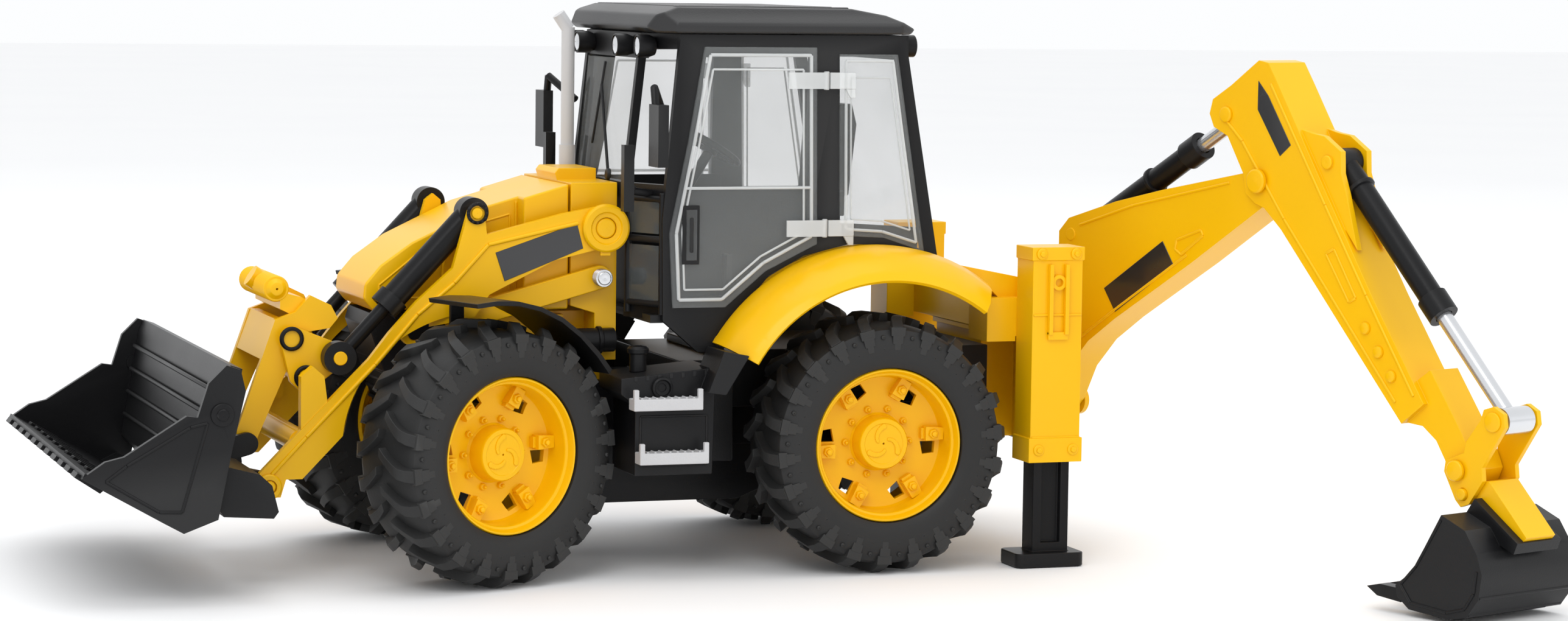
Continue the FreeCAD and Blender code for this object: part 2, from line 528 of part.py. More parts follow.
def bucket_linkage():
    top, ear = link_pin(), bucket_ear()
    crank_outline = [(207.5, 72.6), (216, 69.4), (219.5, 73), (222.8, 87), (221, 92.4), (216.5, 93),
                     (205, 88.4), (199, 86), (198.4, 80), (202, 76.8)]
    plates = both(plate(crank_outline, 26.4, 29.4).cut(pin(CRANK, 3.0 + FIT, 20, 40)))
    pins = both(pin(top, 2.5, 21.9, 26.6)) + both(pin(CRANK_RAM, 2.6, 29.2, 37.0))
    keep("bell_cranks", *[fuse([plates[i], pins[i], pins[i + 2]]) for i in (0, 1)])
    link_outline = [(203.2, 101), (200.6, 96), (203.6, 92.4), (214.4, 90.8), (216.2, 85.4), (231.6, 50.4),
                    (235.4, 46.2), (239.4, 49.6), (238.6, 55), (224.4, 95.8), (216.6, 98.6), (211, 104.8)]
    cheek = plate(link_outline, 22.5, 25.5)
    holes = [pin(top, 2.5 + FIT, 20, 40), pin(ear, 2.2 + FIT, 20, 40)]
    for hole in holes:
        cheek = cheek.cut(hole)
    web = plate([(226.4, 80), (229.4, 81), (224, 96), (221, 96)], -23, 23)
    grip = rod(V(218, 0, 103.6), V(228.6, 0, 110.6), 4.2)
    neck = plate([(204, 98.6), (204, 95.6), (214, 95.6), (222, 99.6), (222, 106), (214, 104)], -23, 23)
    keep("tilt_link", fuse(both(cheek) + [web, neck, grip]))


def ram(foot, eye, collar, bore, outside, rod_r, y):
    """Barrel with an eye at foot and an open mouth at collar, plus its rod to the far eye."""
    mouth = along(foot, eye, collar)
    start, end = V(foot[0], y, foot[1]), V(mouth[0], y, mouth[1])
    barrel = fuse([rod(start, end, outside, 3.0), rod(start.add(end.sub(start) * 0.88), end, outside + 1.1)])
    inner = rod(start, end.add(end.sub(start)), bore, 7.5)
    far = V(eye[0], y, eye[1])
    inside = along(foot, eye, collar * 0.62)
    bar = rod(V(inside[0], y, inside[1]), far, rod_r)
    return barrel.cut(inner), bar


def tilt_rams():
    barrels, bars = [], []
    for sign in (1, -1):
        y = sign * RAM_Y
        barrel, bar = ram(RAM_TOP, CRANK_RAM, 49.0, 4.0, 4.9, 2.7, y)
        barrel = barrel.fuse(pin(RAM_TOP, 5.6, y - 4.6, y + 4.6)).cut(pin(RAM_TOP, 2.6 + FIT, y - 9, y + 9))
        bar = bar.fuse(pin(CRANK_RAM, 6.2, y - 3.1, y + 3.1)).cut(pin(CRANK_RAM, 2.6 + FIT, y - 9, y + 9))
        barrels.append(barrel)
        bars.append(bar)
    keep("tilt_ram_barrels", *barrels)
    keep("tilt_ram_rods", *bars)


def loader_bucket():
    half = BUCKET_HALF - 3.4
    wall = plate([(249.4, 84.6), (253.6, 86), (255.4, 82), (259, 60), (262.6, 40), (259, 36), (254.6, 50)],
                 -half, half)
    hump = plate([(250.5, 48.6), (243, 46.6), (238.6, 42.5), (236.2, 33), (238, 30.6), (256, 31.8), (260, 38),
                  (256, 50)], ARM_OUT + 1.4, half)
    middle = plate([(251.5, 48.6), (246, 44), (244, 33), (258, 32), (260, 38), (256, 50)], -ARM_OUT - 2,
                   ARM_OUT + 2)
    lug = bar_between(BUCKET, (250, 40), 4.6, 31.8, 38.2).cut(pin(BUCKET, 2.5 + FIT, 20, 50))
    ear = bar_between(bucket_ear(), (250, 46), 4.2, 26.2, 29.0)
    ear = ear.fuse(pin(bucket_ear(), 2.2, 21.9, 26.4))
    shape = fuse([wall, middle] + both(hump) + both(lug) + both(ear))
    clam_bore = both(pin(CLAM, 3.0, half, BUCKET_HALF + 0.6))
    keep("bucket_back", fuse([shape] + clam_bore))
    keep("bucket_clam", clam())


def clam():
    """Front jaw: two side cheeks, the floor and the serrated cutting edge."""
    cheek = [(250.6, 84.6), (255.6, 86.4), (262, 80.1), (265.9, 68), (269.8, 68.6), (291.9, 54.7),
             (298.6, 53.1), (306.7, 47.6), (299, 43), (278.8, 31.2), (270.9, 26.8), (258.6, 31.4),
             (253.6, 56.5), (248.8, 77)]
    sides = both(plate(cheek, BUCKET_HALF - 2.8, BUCKET_HALF).cut(pin(CLAM, 3.0 + FIT, 80, 100)))
    floor = plate([(264, 33.2), (263, 30.4), (270.9, 26.8), (278.8, 31.2), (306.7, 47.2), (305.6, 49.4),
                   (277, 34), (270.5, 30)], -BUCKET_HALF + 0.5, BUCKET_HALF - 0.5)
    teeth = []
    for index in range(11):
        y = (index - 5) * 16.4
        teeth.append(plate([(298, 42.4), (299.4, 41.2), (308.4, 47.2), (307.2, 48.8)], y - 4.6, y + 4.6))
    return fuse(sides + [floor] + teeth)


# --- backhoe ----------------------------------------------------------------------------
def back(points):
    """Backhoe outline (reach, height) as XZ points with the arm straight back."""
    return [(SLEW_X - reach, z) for reach, z in points]


def spot(point):
    return (SLEW_X - point[0], point[1])


def slewed(shape):
    return turned(shape, V(SLEW_X, 0, 0), V(0, 0, 1), -SLEW)


def kingpost():
    backplate = box(-88.4, -85.6, -27, 27, 41.2, 99.4)
    backplate = backplate.cut(box(-90, -80, -20.5, 20.5, 49.2, 64))
    guides = [box(-85.6, -81, -27, 27, z0, z0 + 2.4) for z0 in (41.2, 97.0)]
    ears = []
    for z0 in (44.0, 92.4):
        ears += [Part.makeCylinder(8.0, 4.6, V(SLEW_X, 0, z0)), box(SLEW_X, -88, -8, 8, z0, z0 + 4.6)]
    shape = fuse([backplate] + ears + guides)
    shape = shape.cut(Part.makeCylinder(3.2 + FIT, 70, V(SLEW_X, 0, 40)))
    keep("kingpost_carriage", shape)
    column = fuse([Part.makeCylinder(5.5, 43.2, V(SLEW_X, 0, 48.9)),
                   Part.makeCylinder(3.2, 53.0, V(SLEW_X, 0, 44.0))])
    foot = spot(BOOM_FOOT)
    lug = plate(back([(3.5, 50), (3.5, 62), (12, 62), (12, 50)]), BOOM_HALF + 0.4, BOOM_HALF + 2.8)
    lugs = both(fuse([lug, pin(foot, 6.0, BOOM_HALF + 0.4, BOOM_HALF + 2.8)]))
    bridge = box(SLEW_X - 5.4, SLEW_X, -BOOM_HALF - 2.8, BOOM_HALF + 2.8, 50, 62)
    shaft = pin(foot, 3.0, -BOOM_HALF - 1, BOOM_HALF + 1)
    keep("kingpost", slewed(fuse([column, bridge, shaft] + lugs)))


def boom():
    outline = [(18, 119), (18, 125.5), (23.5, 131), (50, 139), (76, 145), (119, 153.6), (124, 157.6),
               (129, 158.8), (134.4, 156.4), (136.4, 150.6), (133.6, 144.4), (129, 141), (92, 117.4), (51, 92.8),
               (36, 82.6), (25, 71), (18, 57), (12, 50.6), (7.4, 52), (6, 57), (9, 63), (20, 73), (26.5, 90),
               (24.5, 104)]
    hollow = [(28, 126), (28, 150), (118, 170), (118, 148), (112, 139), (92, 123), (51, 98.6), (36, 90),
              (30.4, 92), (28, 106)]
    shape = plate(back(outline), -BOOM_HALF, BOOM_HALF)
    shape = shape.cut(plate(back(hollow), -BOOM_HALF + 2.2, BOOM_HALF - 2.2))
    shape = shape.cut(pin(spot(BOOM_FOOT), 3.0 + FIT, -20, 20)).cut(pin(spot(BOOM_TIP), 3.6 + FIT, -20, 20))
    foot, aim = spot(DIPPER_RAM_FOOT), spot(DIPPER_RAM_EYE)
    shape = shape.cut(bar_between(foot, along(foot, aim, 20), 5.4, -BOOM_HALF + 2.2, BOOM_HALF - 2.2))
    shape = shape.fuse(pin(foot, 2.4, -BOOM_HALF - 0.4, BOOM_HALF + 0.4))
    keep("boom", slewed(shape))


def dipper_ram():
    foot, eye = spot(DIPPER_RAM_FOOT), spot(DIPPER_RAM_EYE)
    barrel, bar = ram(foot, eye, 75.0, 3.3, 4.6, 3.0, 0.0)
    barrel = barrel.fuse(pin(foot, 4.4, -5.4, 5.4)).cut(pin(foot, 2.4 + FIT, -9, 9))
    bar = bar.fuse(pin(eye, 4.6, -5.0, 5.0))
    keep("dipper_ram_barrel", slewed(barrel))
    keep("dipper_ram_rod", slewed(bar))


def dipper():
    outline = [(127.4, 196.6), (113.3, 186.8), (103.8, 181.2), (102.2, 175.6), (104.6, 170.6), (112, 167.4),
               (120.6, 153.6), (122, 146.4), (127, 142.6), (132, 141), (140.7, 133.6), (203, 66.4),
               (213.4, 74.6), (186.9, 112.2), (166.2, 143.8), (137.5, 188.2), (132.4, 195.8)]
    hollow = [(98, 184), (112, 183.6), (127, 193), (130, 192), (134, 187.4), (162, 143.6), (170, 130.4),
              (152, 120), (134, 132), (118, 140), (100, 164)]
    tip = [(203, 66.8), (211, 66.2), (217.6, 61.6), (222, 55), (224.4, 49.8), (229, 46.4), (234.6, 48.2),
           (236.6, 53), (234, 58.6), (228.6, 66.8), (214, 87), (204, 80)]
    shape = plate(back(outline), -DIPPER_HALF, DIPPER_HALF)
    shape = shape.cut(plate(back(hollow), -BOOM_HALF - 0.35, BOOM_HALF + 0.35))
    shape = shape.fuse(plate(back(tip), -7.5, 7.5))
    lug = plate(back([(146, 172), (154, 170.2), (160, 169.4), (168.6, 164), (169, 156), (172, 148), (178, 128),
                      (166, 142)]), 5.7, 8.4)
    shape = fuse([shape] + both(lug) + [pin(spot(BUCKET_RAM_FOOT), 2.4, -8.8, 8.8)])
    shape = fuse([shape, pin(spot(LEVER), 3.0, -10.9, 10.9), pin(spot(BOOM_TIP), 3.6, -10.9, 10.9)])
    keep("dipper", slewed(shape))


def bucket_ram():
    foot, eye = spot(BUCKET_RAM_FOOT), spot(BUCKET_RAM_EYE)
    barrel, bar = ram(foot, eye, 74.0, 3.3, 4.6, 3.0, 0.0)
    barrel = barrel.fuse(pin(foot, 5.2, -5.3, 5.3)).cut(pin(foot, 2.4 + FIT, -9, 9))
    bar = bar.fuse(pin(eye, 5.0, -7.0, 7.0)).cut(pin(eye, 2.2, -9, 9))
    keep("bucket_ram_barrel", slewed(barrel))
    keep("bucket_ram_rod", slewed(bar))


def digging_end():
    lever = [(240.4, 71.6), (241.6, 75.4), (246.2, 76.9), (250.8, 74.6), (251.6, 69.8), (241.6, 54.4),
             (242.2, 49.6), (236, 40.6), (232.2, 39.2), (229.6, 41.6), (224, 51.4), (224.6, 55.4), (233, 59),
             (234, 63.2)]
    cheek = plate(back(lever), 8.0, 10.2).cut(pin(spot(LEVER), 3.0 + FIT, -20, 20))
    cheek = cheek.cut(pin(spot(HITCH_PIN), 2.25, -20, 20))
    keep("bucket_lever", *[slewed(s) for s in both(cheek)])
    wedge = plate(back([(229.8, 41.6), (231, 46), (236, 48.6), (243.2, 49.6), (261, 31.4), (258.4, 28.6),
                        (241, 38.6), (236.6, 40.4)]), -7.9, 7.9)
    wedge = wedge.cut(pin(spot(LEVER), 8.2, -20, 20)).fuse(pin(spot(HITCH_PIN), 2.2, -10.8, 10.8))
    keep("hitch_coupler", slewed(wedge))
    keep("digging_bucket", slewed(dig_bucket()))


def dig_bucket():
    shell = [(237, 38.3), (224.2, 16.5), (216.4, 10.4), (217.4, 6.4), (223, 2.4), (240.7, 1.2), (249.7, 2.9),
             (255.1, 10), (256.4, 19), (253.8, 26), (248, 34)]
    space = [(234.4, 42), (222, 20), (212, 10), (218.6, 8.2), (224, 4.2), (240.2, 3.1), (248.6, 4.7),
             (253.4, 10.8), (254.5, 19), (252, 25), (246.6, 32.4), (237.4, 35.6)]
    body = plate(back(shell), -DIG_HALF, DIG_HALF)
    body = body.cut(plate(back(space), -DIG_HALF + 1.9, DIG_HALF - 1.9))
    teeth = []
    for index in range(5):
        y = (index - 2) * 11.6
        teeth.append(plate(back([(218, 9.4), (208.6, 9.8), (202.6, 8.3), (207.6, 5.4), (219, 4.4)]), y - 2.6, y + 2.6))
    frame = plate(back([(236.4, 37.8), (240.2, 43.4), (260.4, 29.6), (258.8, 25.6), (250, 29)]), -12, 12)
    pocket = plate(back([(229.8, 41.6), (231, 46), (236, 48.6), (243.2, 49.6), (261.2, 31.6), (258.2, 28.2),
                         (241, 38.2), (236.6, 40.0)]), -8.0, 8.0)
    return fuse([body, frame] + teeth).cut(pocket)


def build():
    wheels()
    chassis()
    steering()
    tower()
    bonnet()
    exhaust()
    cab()
    glazing()
    cab_fittings()
    body_sides()
    rear_frame()
    loader_arms()
    lift_stays()
    bucket_linkage()
    tilt_rams()
    loader_bucket()
    kingpost()
    boom()
    dipper_ram()
    dipper()
    bucket_ram()
    digging_end()


build()
os.makedirs("parts", exist_ok=True)
whole = Part.makeCompound(list(PARTS.values())).BoundBox
print("middle of the toy:", round(whole.Center.x, 2), round(whole.Center.y, 2), "lowest", round(whole.ZMin, 3))
for name, shape in PARTS.items():
    moved = shape.copy()
    moved.translate(STAND_CENTRE * -1)
    print(name, "valid" if moved.isValid() else "INVALID", len(moved.Solids), round(moved.Volume))
    moved.exportStep("parts/" + name + ".step")
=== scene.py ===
import json
import math

import bmesh
import bpy
from mathutils import Matrix, Vector


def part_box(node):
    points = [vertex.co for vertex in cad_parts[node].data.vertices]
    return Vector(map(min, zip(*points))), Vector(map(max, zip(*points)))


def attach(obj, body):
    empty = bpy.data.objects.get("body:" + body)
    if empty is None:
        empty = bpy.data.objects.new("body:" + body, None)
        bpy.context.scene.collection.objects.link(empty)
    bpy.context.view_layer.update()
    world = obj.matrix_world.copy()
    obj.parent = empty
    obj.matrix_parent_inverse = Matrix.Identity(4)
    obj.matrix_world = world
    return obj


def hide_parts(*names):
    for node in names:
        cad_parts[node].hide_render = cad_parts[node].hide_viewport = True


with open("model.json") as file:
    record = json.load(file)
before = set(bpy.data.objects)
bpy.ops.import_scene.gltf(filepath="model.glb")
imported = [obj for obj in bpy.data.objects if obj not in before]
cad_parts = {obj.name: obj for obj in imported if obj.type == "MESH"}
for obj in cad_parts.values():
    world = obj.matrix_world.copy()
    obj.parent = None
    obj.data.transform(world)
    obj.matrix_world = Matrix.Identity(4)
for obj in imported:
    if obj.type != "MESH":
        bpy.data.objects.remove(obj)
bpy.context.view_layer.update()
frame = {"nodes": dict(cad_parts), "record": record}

# Toy backhoe loader. Sizes below are millimetres in the machine's own frame: +X forward,
# +Y its left, +Z up, the rear axle above X = 0, the centreline on Y = 0. BASE carries that
# frame into the row frame, in metres. The backhoe's details are drawn with its arm straight
# behind the machine, and BACK turns them to where the arm stands at rest.
MM = 0.001
AXLE_LOW, AXLE_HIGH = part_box("rear_axle")
BASE = (Matrix.Translation(((AXLE_LOW.x + AXLE_HIGH.x) / 2, (AXLE_LOW.y + AXLE_HIGH.y) / 2, 0))
        @ Matrix.Scale(MM, 4))
JOINTS = {joint["name"]: joint for joint in frame["record"]["behaviour"]["joints"]}
BODIES = frame["record"]["behaviour"]["bodies"]
BODY_OF = {node: body for body, nodes in BODIES.items() for node in nodes}
SLEW_X, SLEW = -96.0, math.radians(70)
BACK = (BASE @ Matrix.Translation((SLEW_X, 0, 0)) @ Matrix.Rotation(-SLEW, 4, "Z")
        @ Matrix.Scale(-1, 4, (1, 0, 0)))

# Edge rounding of every mesh
BEVEL_STEPS, BEVEL_ANGLE, SHARP_ANGLE = 2, math.radians(32), math.radians(38)
TIP_R = 0.001                       # where a turned solid closes on its own axis

# Wheels
TYRE_R = 49.0                       # out to the tops of the lugs
LUG_FOOT_R = 44.4
LUGS = 22                           # on each side of the tread
LUG_BEND = math.radians(9.5)        # how far a lug has leaned back by the shoulder
LUG_STATIONS = 7
CLAMPS, BOLTS, CURLS, CURL_STEPS = 6, 10, 3, 9
BOLT_CIRCLE_R = 13.0

# Cab
CAB_HALF = 60.0                     # out to the doors
HINGE_X, HINGE_HEIGHTS, BARREL_TALL, LEAF_GAP = 20.5, (127, 183), 7, 0.4
SIDE_OUT = Vector((0.903, 0.429, 0))    # the way the slanted side panes face

# Front loader: (x, z) of its pins, and the outer faces of its parts
ARM_PIVOT, EAR_PIN, BUCKET_PIN = (101.5, 130), (151.5, 136), (230, 35.5)
CRANK_PINS, HANDLE, JAW_PIN = ((213.5, 74.5), (219.0, 89.0)), (223.5, 107.2), (257.2, 68.8)
ARM_FACE, CRANK_FACE, JAW_FACE = 42.0, 29.3, 92.9

# Body
BONNET_FACE, CASING_FACE, LATCH_X = 24.0, 80.0, -68.5

# Backhoe: (reach, height) of its pins, and the half widths of its beams
BOOM_FOOT, BOOM_TOP, BUCKET_HINGE, LEVER_PIN = (12, 56), (129, 151.2), (230.3, 52.3), (233.1, 44.0)
DIPPER_RAM = ((25, 124.6), (111.4, 175.6))      # foot and eye
BUCKET_RAM = ((162.4, 159.8), (246.2, 71.3))
BOOM_HALF, DIPPER_HALF, DIG_HALF = 8.0, 10.0, 26.0

# Camera, in degrees and millimetres, with its near limit in metres
CAMERA_AZIMUTH, CAMERA_ELEVATION, CAMERA_ROLL = 19.34, 5.12, 0.77
CAMERA_FOCUS, CAMERA_DISTANCE = Vector((14.7, 0, 93.5)), 1520.34
SENSOR, LENS, CLIP_START = 36.0, 88.0, 0.01

# Stage, in metres; each light has a name, a place, a size and its watts
FLOOR_SIZE, FLOOR_DROP = 9.0, 0.0003
LIGHT_AIM = Vector((0, 0, 0.08))
LIGHTS = (("key", (0.9, 1.5, 1.7), 1.0, 12.0), ("fill", (-1.3, 1.1, 0.9), 1.2, 3.0),
          ("back", (-0.4, -1.5, 1.5), 1.4, 5.0), ("top", (0.1, 0.1, 1.9), 1.2, 6.0))

# Surface textures
DRIFT_SCALE, DRIFT_DETAIL = 14.0, 5.0           # slow change of colour over a part
GRAIN_DETAIL, GRAIN_DEPTH = 3.0, 0.0002         # fine moulded grain, its depth in metres
WEAR_START, WEAR_FULL, WEAR_SHARE = 0.53, 0.62, 0.45    # rubbed outer edges
FLOW_SCALE, STAGE_SCALE = 30.0, 3.0             # flow marks in clear parts, floor's drift
MATTER, GLOSSIER = 0.09, 0.06                   # roughness drift either side of a part's own
SOFT_COAT, CLEAR_COAT, CLEAR_GLOSS = 0.12, 0.2, 0.05    # lacquer: roughness, weight, roughness


# --- materials ------------------------------------------------------------------------
def new_material(name):
    """An empty material, with its node tree and main shader."""
    material = bpy.data.materials.new(name)
    material.use_nodes = True
    nodes, links = material.node_tree.nodes, material.node_tree.links
    return material, nodes, links, nodes["Principled BSDF"]


def noise(nodes, links, place, scale, detail=2.0):
    """Noise fixed to the object."""
    texture = nodes.new("ShaderNodeTexNoise")
    texture.inputs["Scale"].default_value = scale
    texture.inputs["Detail"].default_value = detail
    links.new(place.outputs["Object"], texture.inputs["Vector"])
    return texture.outputs["Fac"]


def mixed(nodes, links, factor, first, second):
    """Colour between two constants, steered by a factor."""
    mix = nodes.new("ShaderNodeMixRGB")
    mix.inputs["Color1"].default_value = (*first, 1)
    mix.inputs["Color2"].default_value = (*second, 1)
    links.new(factor, mix.inputs["Fac"])
    return mix.outputs["Color"]


def spread(nodes, links, value, low, high, socket):
    """Feeds a socket with a value stretched over a range."""
    stretch = nodes.new("ShaderNodeMapRange")
    stretch.inputs["To Min"].default_value = low
    stretch.inputs["To Max"].default_value = high
    links.new(value, stretch.inputs["Value"])
    links.new(stretch.outputs["Result"], socket)


def rubbed(nodes, links, colour, wear):
    """The colour, turning to the paler wear on outer edges."""
    shape = nodes.new("ShaderNodeNewGeometry")
    edge = nodes.new("ShaderNodeValToRGB")
    edge.color_ramp.elements[0].position = WEAR_START
    edge.color_ramp.elements[1].position = WEAR_FULL
    rub = nodes.new("ShaderNodeMath")
    rub.operation = "MULTIPLY"
    rub.inputs[1].default_value = WEAR_SHARE
    worn = nodes.new("ShaderNodeMixRGB")
    worn.inputs["Color2"].default_value = (*wear, 1)
    links.new(shape.outputs["Pointiness"], edge.inputs["Fac"])
    links.new(edge.outputs["Color"], rub.inputs[0])
    links.new(rub.outputs[0], worn.inputs["Fac"])
    links.new(colour, worn.inputs["Color1"])
    return worn.outputs["Color"]


def plastic(name, dark, light, rough, bump, scale=900.0, coat=0.0, wear=None, sheen=0.5):
    """Moulded plastic: slight colour drift, fine surface grain and paler rubbed edges."""
    material, nodes, links, shader = new_material(name)
    place = nodes.new("ShaderNodeTexCoord")
    drift = noise(nodes, links, place, DRIFT_SCALE, DRIFT_DETAIL)
    grain = noise(nodes, links, place, scale, GRAIN_DETAIL)
    colour = mixed(nodes, links, drift, dark, light)
    if wear:
        colour = rubbed(nodes, links, colour, wear)
    links.new(colour, shader.inputs["Base Color"])
    spread(nodes, links, drift, rough - GLOSSIER, rough + MATTER, shader.inputs["Roughness"])
    relief = nodes.new("ShaderNodeBump")
    relief.inputs["Strength"].default_value = bump
    relief.inputs["Distance"].default_value = GRAIN_DEPTH
    links.new(grain, relief.inputs["Height"])
    links.new(relief.outputs["Normal"], shader.inputs["Normal"])
    shader.inputs["Specular IOR Level"].default_value = sheen
    shader.inputs["Coat Weight"].default_value = coat
    shader.inputs["Coat Roughness"].default_value = SOFT_COAT
    return material


def clear_plastic(name, tint, alpha, rough):
    """Clear moulding: mostly see-through, with faint flow marks in its gloss."""
    material, nodes, links, shader = new_material(name)
    place = nodes.new("ShaderNodeTexCoord")
    flow = noise(nodes, links, place, FLOW_SCALE)
    spread(nodes, links, flow, alpha - 0.05, alpha + 0.07, shader.inputs["Alpha"])
    spread(nodes, links, flow, rough, rough + 0.08, shader.inputs["Roughness"])
    shader.inputs["Base Color"].default_value = (*tint, 1)
    shader.inputs["Coat Weight"].default_value = CLEAR_COAT
    shader.inputs["Coat Roughness"].default_value = CLEAR_GLOSS
    return material


YELLOW = plastic("yellow_plastic", (0.83, 0.44, 0.0), (0.92, 0.52, 0.001), 0.32, 0.05,
                 coat=0.06, sheen=0.25)
BLACK = plastic("black_plastic", (0.0045, 0.0045, 0.005), (0.010, 0.010, 0.011), 0.34, 0.2,
                scale=1400.0, wear=(0.045, 0.045, 0.045), sheen=0.18)
ROOF_BLACK = plastic("roof_plastic", (0.007, 0.007, 0.008), (0.015, 0.015, 0.016), 0.42, 0.5,
                     scale=1900.0, wear=(0.06, 0.06, 0.06), sheen=0.45)
RUBBER = plastic("tyre_rubber", (0.010, 0.010, 0.010), (0.020, 0.020, 0.020), 0.52, 0.25,
                 scale=800.0, wear=(0.06, 0.06, 0.058), sheen=0.35)
GREY = plastic("tread_plastic", (0.36, 0.36, 0.37), (0.66, 0.66, 0.67), 0.42, 0.6, scale=1200.0)
PIPE = plastic("pipe_plastic", (0.46, 0.46, 0.47), (0.60, 0.60, 0.61), 0.36, 0.1, coat=0.2)
SILVER = plastic("silver_coating", (0.60, 0.61, 0.63), (0.72, 0.73, 0.75), 0.2, 0.05, coat=0.4)
SILVER.node_tree.nodes["Principled BSDF"].inputs["Metallic"].default_value = 0.85
CLEAR = clear_plastic("clear_plastic", (0.42, 0.44, 0.44), 0.13, 0.03)
EDGE = clear_plastic("clear_edge", (0.78, 0.80, 0.80), 0.5, 0.05)
SMOKY = clear_plastic("smoky_plastic", (0.10, 0.11, 0.11), 0.55, 0.06)
STICKER = plastic("dark_sticker", (0.012, 0.012, 0.014), (0.020, 0.020, 0.022), 0.28, 0.02,
                  coat=0.5)


# --- mesh helpers -----------------------------------------------------------------------
def finished(mesh, name, body, material, replaces=None, bevel=0.0):
    """Object from a mesh already in the row frame, with rounded edges, riding on a body."""
    obj = bpy.data.objects.new(name, mesh)
    bpy.context.scene.collection.objects.link(obj)
    mesh.materials.clear()
    mesh.materials.append(material)
    for polygon in mesh.polygons:
        polygon.use_smooth = True
    if bevel:
        rounding = obj.modifiers.new("rounding", "BEVEL")
        rounding.width = bevel * MM
        rounding.segments = BEVEL_STEPS
        rounding.limit_method = "ANGLE"
        rounding.angle_limit = BEVEL_ANGLE
    mesh.set_sharp_from_angle(angle=SHARP_ANGLE)
    if bevel:
        normals = obj.modifiers.new("normals", "WEIGHTED_NORMAL")
        normals.keep_sharp = False
    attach(obj, body)
    if replaces:
        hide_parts(*replaces)
    return obj


def mesh_of(shape, name, matrix):
    """Mesh from a bmesh in working millimetres, carried into the row frame."""
    bmesh.ops.transform(shape, matrix=matrix, verts=shape.verts)
    if matrix.determinant() < 0:
        bmesh.ops.reverse_faces(shape, faces=shape.faces)
    mesh = bpy.data.meshes.new(name)
    shape.to_mesh(mesh)
    shape.free()
    return mesh


def between(shape, here, there):
    """Side faces that join two rings of the same length."""
    faces = []
    for index in range(len(here)):
        after = (index + 1) % len(here)
        faces.append(shape.faces.new((here[index], here[after], there[after], there[index])))
    return faces


def prism(shape, outline, y0, y1):
    """Adds an XZ outline to a bmesh, extruded from y0 to y1."""
    ends = [[shape.verts.new((x, y, z)) for x, z in outline] for y in (y0, y1)]
    faces = [shape.faces.new(ends[0]), shape.faces.new(list(reversed(ends[1])))]
    faces += between(shape, ends[1], ends[0])
    bmesh.ops.recalc_face_normals(shape, faces=faces)


def turning(shape, profile, centre, axis=(0, 1, 0), steps=72):
    """Adds a closed (radius, along) profile turned about an axis through a centre."""
    axis = Vector(axis).normalized()
    across = axis.orthogonal().normalized()
    third = axis.cross(across)
    rings = []
    for step in range(steps):
        turn = math.tau * step / steps
        out = across * math.cos(turn) + third * math.sin(turn)
        rings.append([shape.verts.new(Vector(centre) + out * r + axis * a) for r, a in profile])
    faces = []
    for step in range(steps):
        faces += between(shape, rings[step], rings[(step + 1) % steps])
    bmesh.ops.recalc_face_normals(shape, faces=faces)


def button(shape, centre, axis, radius, height, dome=0.3, steps=28):
    """Adds a low domed disc or bolt head standing on a point."""
    profile = [(TIP_R, 0), (radius, 0), (radius, height * (1 - dome)), (radius * 0.86, height),
               (TIP_R, height * (1 + dome * 0.5))]
    turning(shape, profile, centre, axis, steps)


def block(shape, low, high):
    """Adds a box between two corners."""
    outline = [(low[0], low[2]), (high[0], low[2]), (high[0], high[2]), (low[0], high[2])]
    prism(shape, outline, low[1], high[1])


def bar(shape, start, end, radius, steps=14):
    """Adds a round bar between two points, with its ends eased."""
    start, end = Vector(start), Vector(end)
    length = (end - start).length
    ease = 0.25
    profile = [(TIP_R, 0), (radius * 0.8, 0), (radius, ease), (radius, length - ease),
               (radius * 0.8, length), (TIP_R, length)]
    turning(shape, profile, start, end - start, steps)


def beside(point, y):
    """An (x, z) point, moved out to a side face."""
    return Vector((point[0], y, point[1]))


def mirrored(shape):
    """Adds the mirror image across Y = 0 of everything in a bmesh."""
    made = bmesh.ops.duplicate(shape, geom=shape.verts[:] + shape.edges[:] + shape.faces[:])["geom"]
    verts = [item for item in made if isinstance(item, bmesh.types.BMVert)]
    faces = [item for item in made if isinstance(item, bmesh.types.BMFace)]
    bmesh.ops.scale(shape, vec=(1, -1, 1), verts=verts)
    bmesh.ops.reverse_faces(shape, faces=faces)


def piece(name, body, material, build, matrix=None, both_sides=False, bevel=0.0,
          replaces=None):
    """One extra piece: build(bmesh) draws it in working millimetres."""
    shape = bmesh.new()
    build(shape)
    if both_sides:
        mirrored(shape)
    mesh = mesh_of(shape, name, matrix or BASE)
    return finished(mesh, name, body, material, replaces=replaces, bevel=bevel)


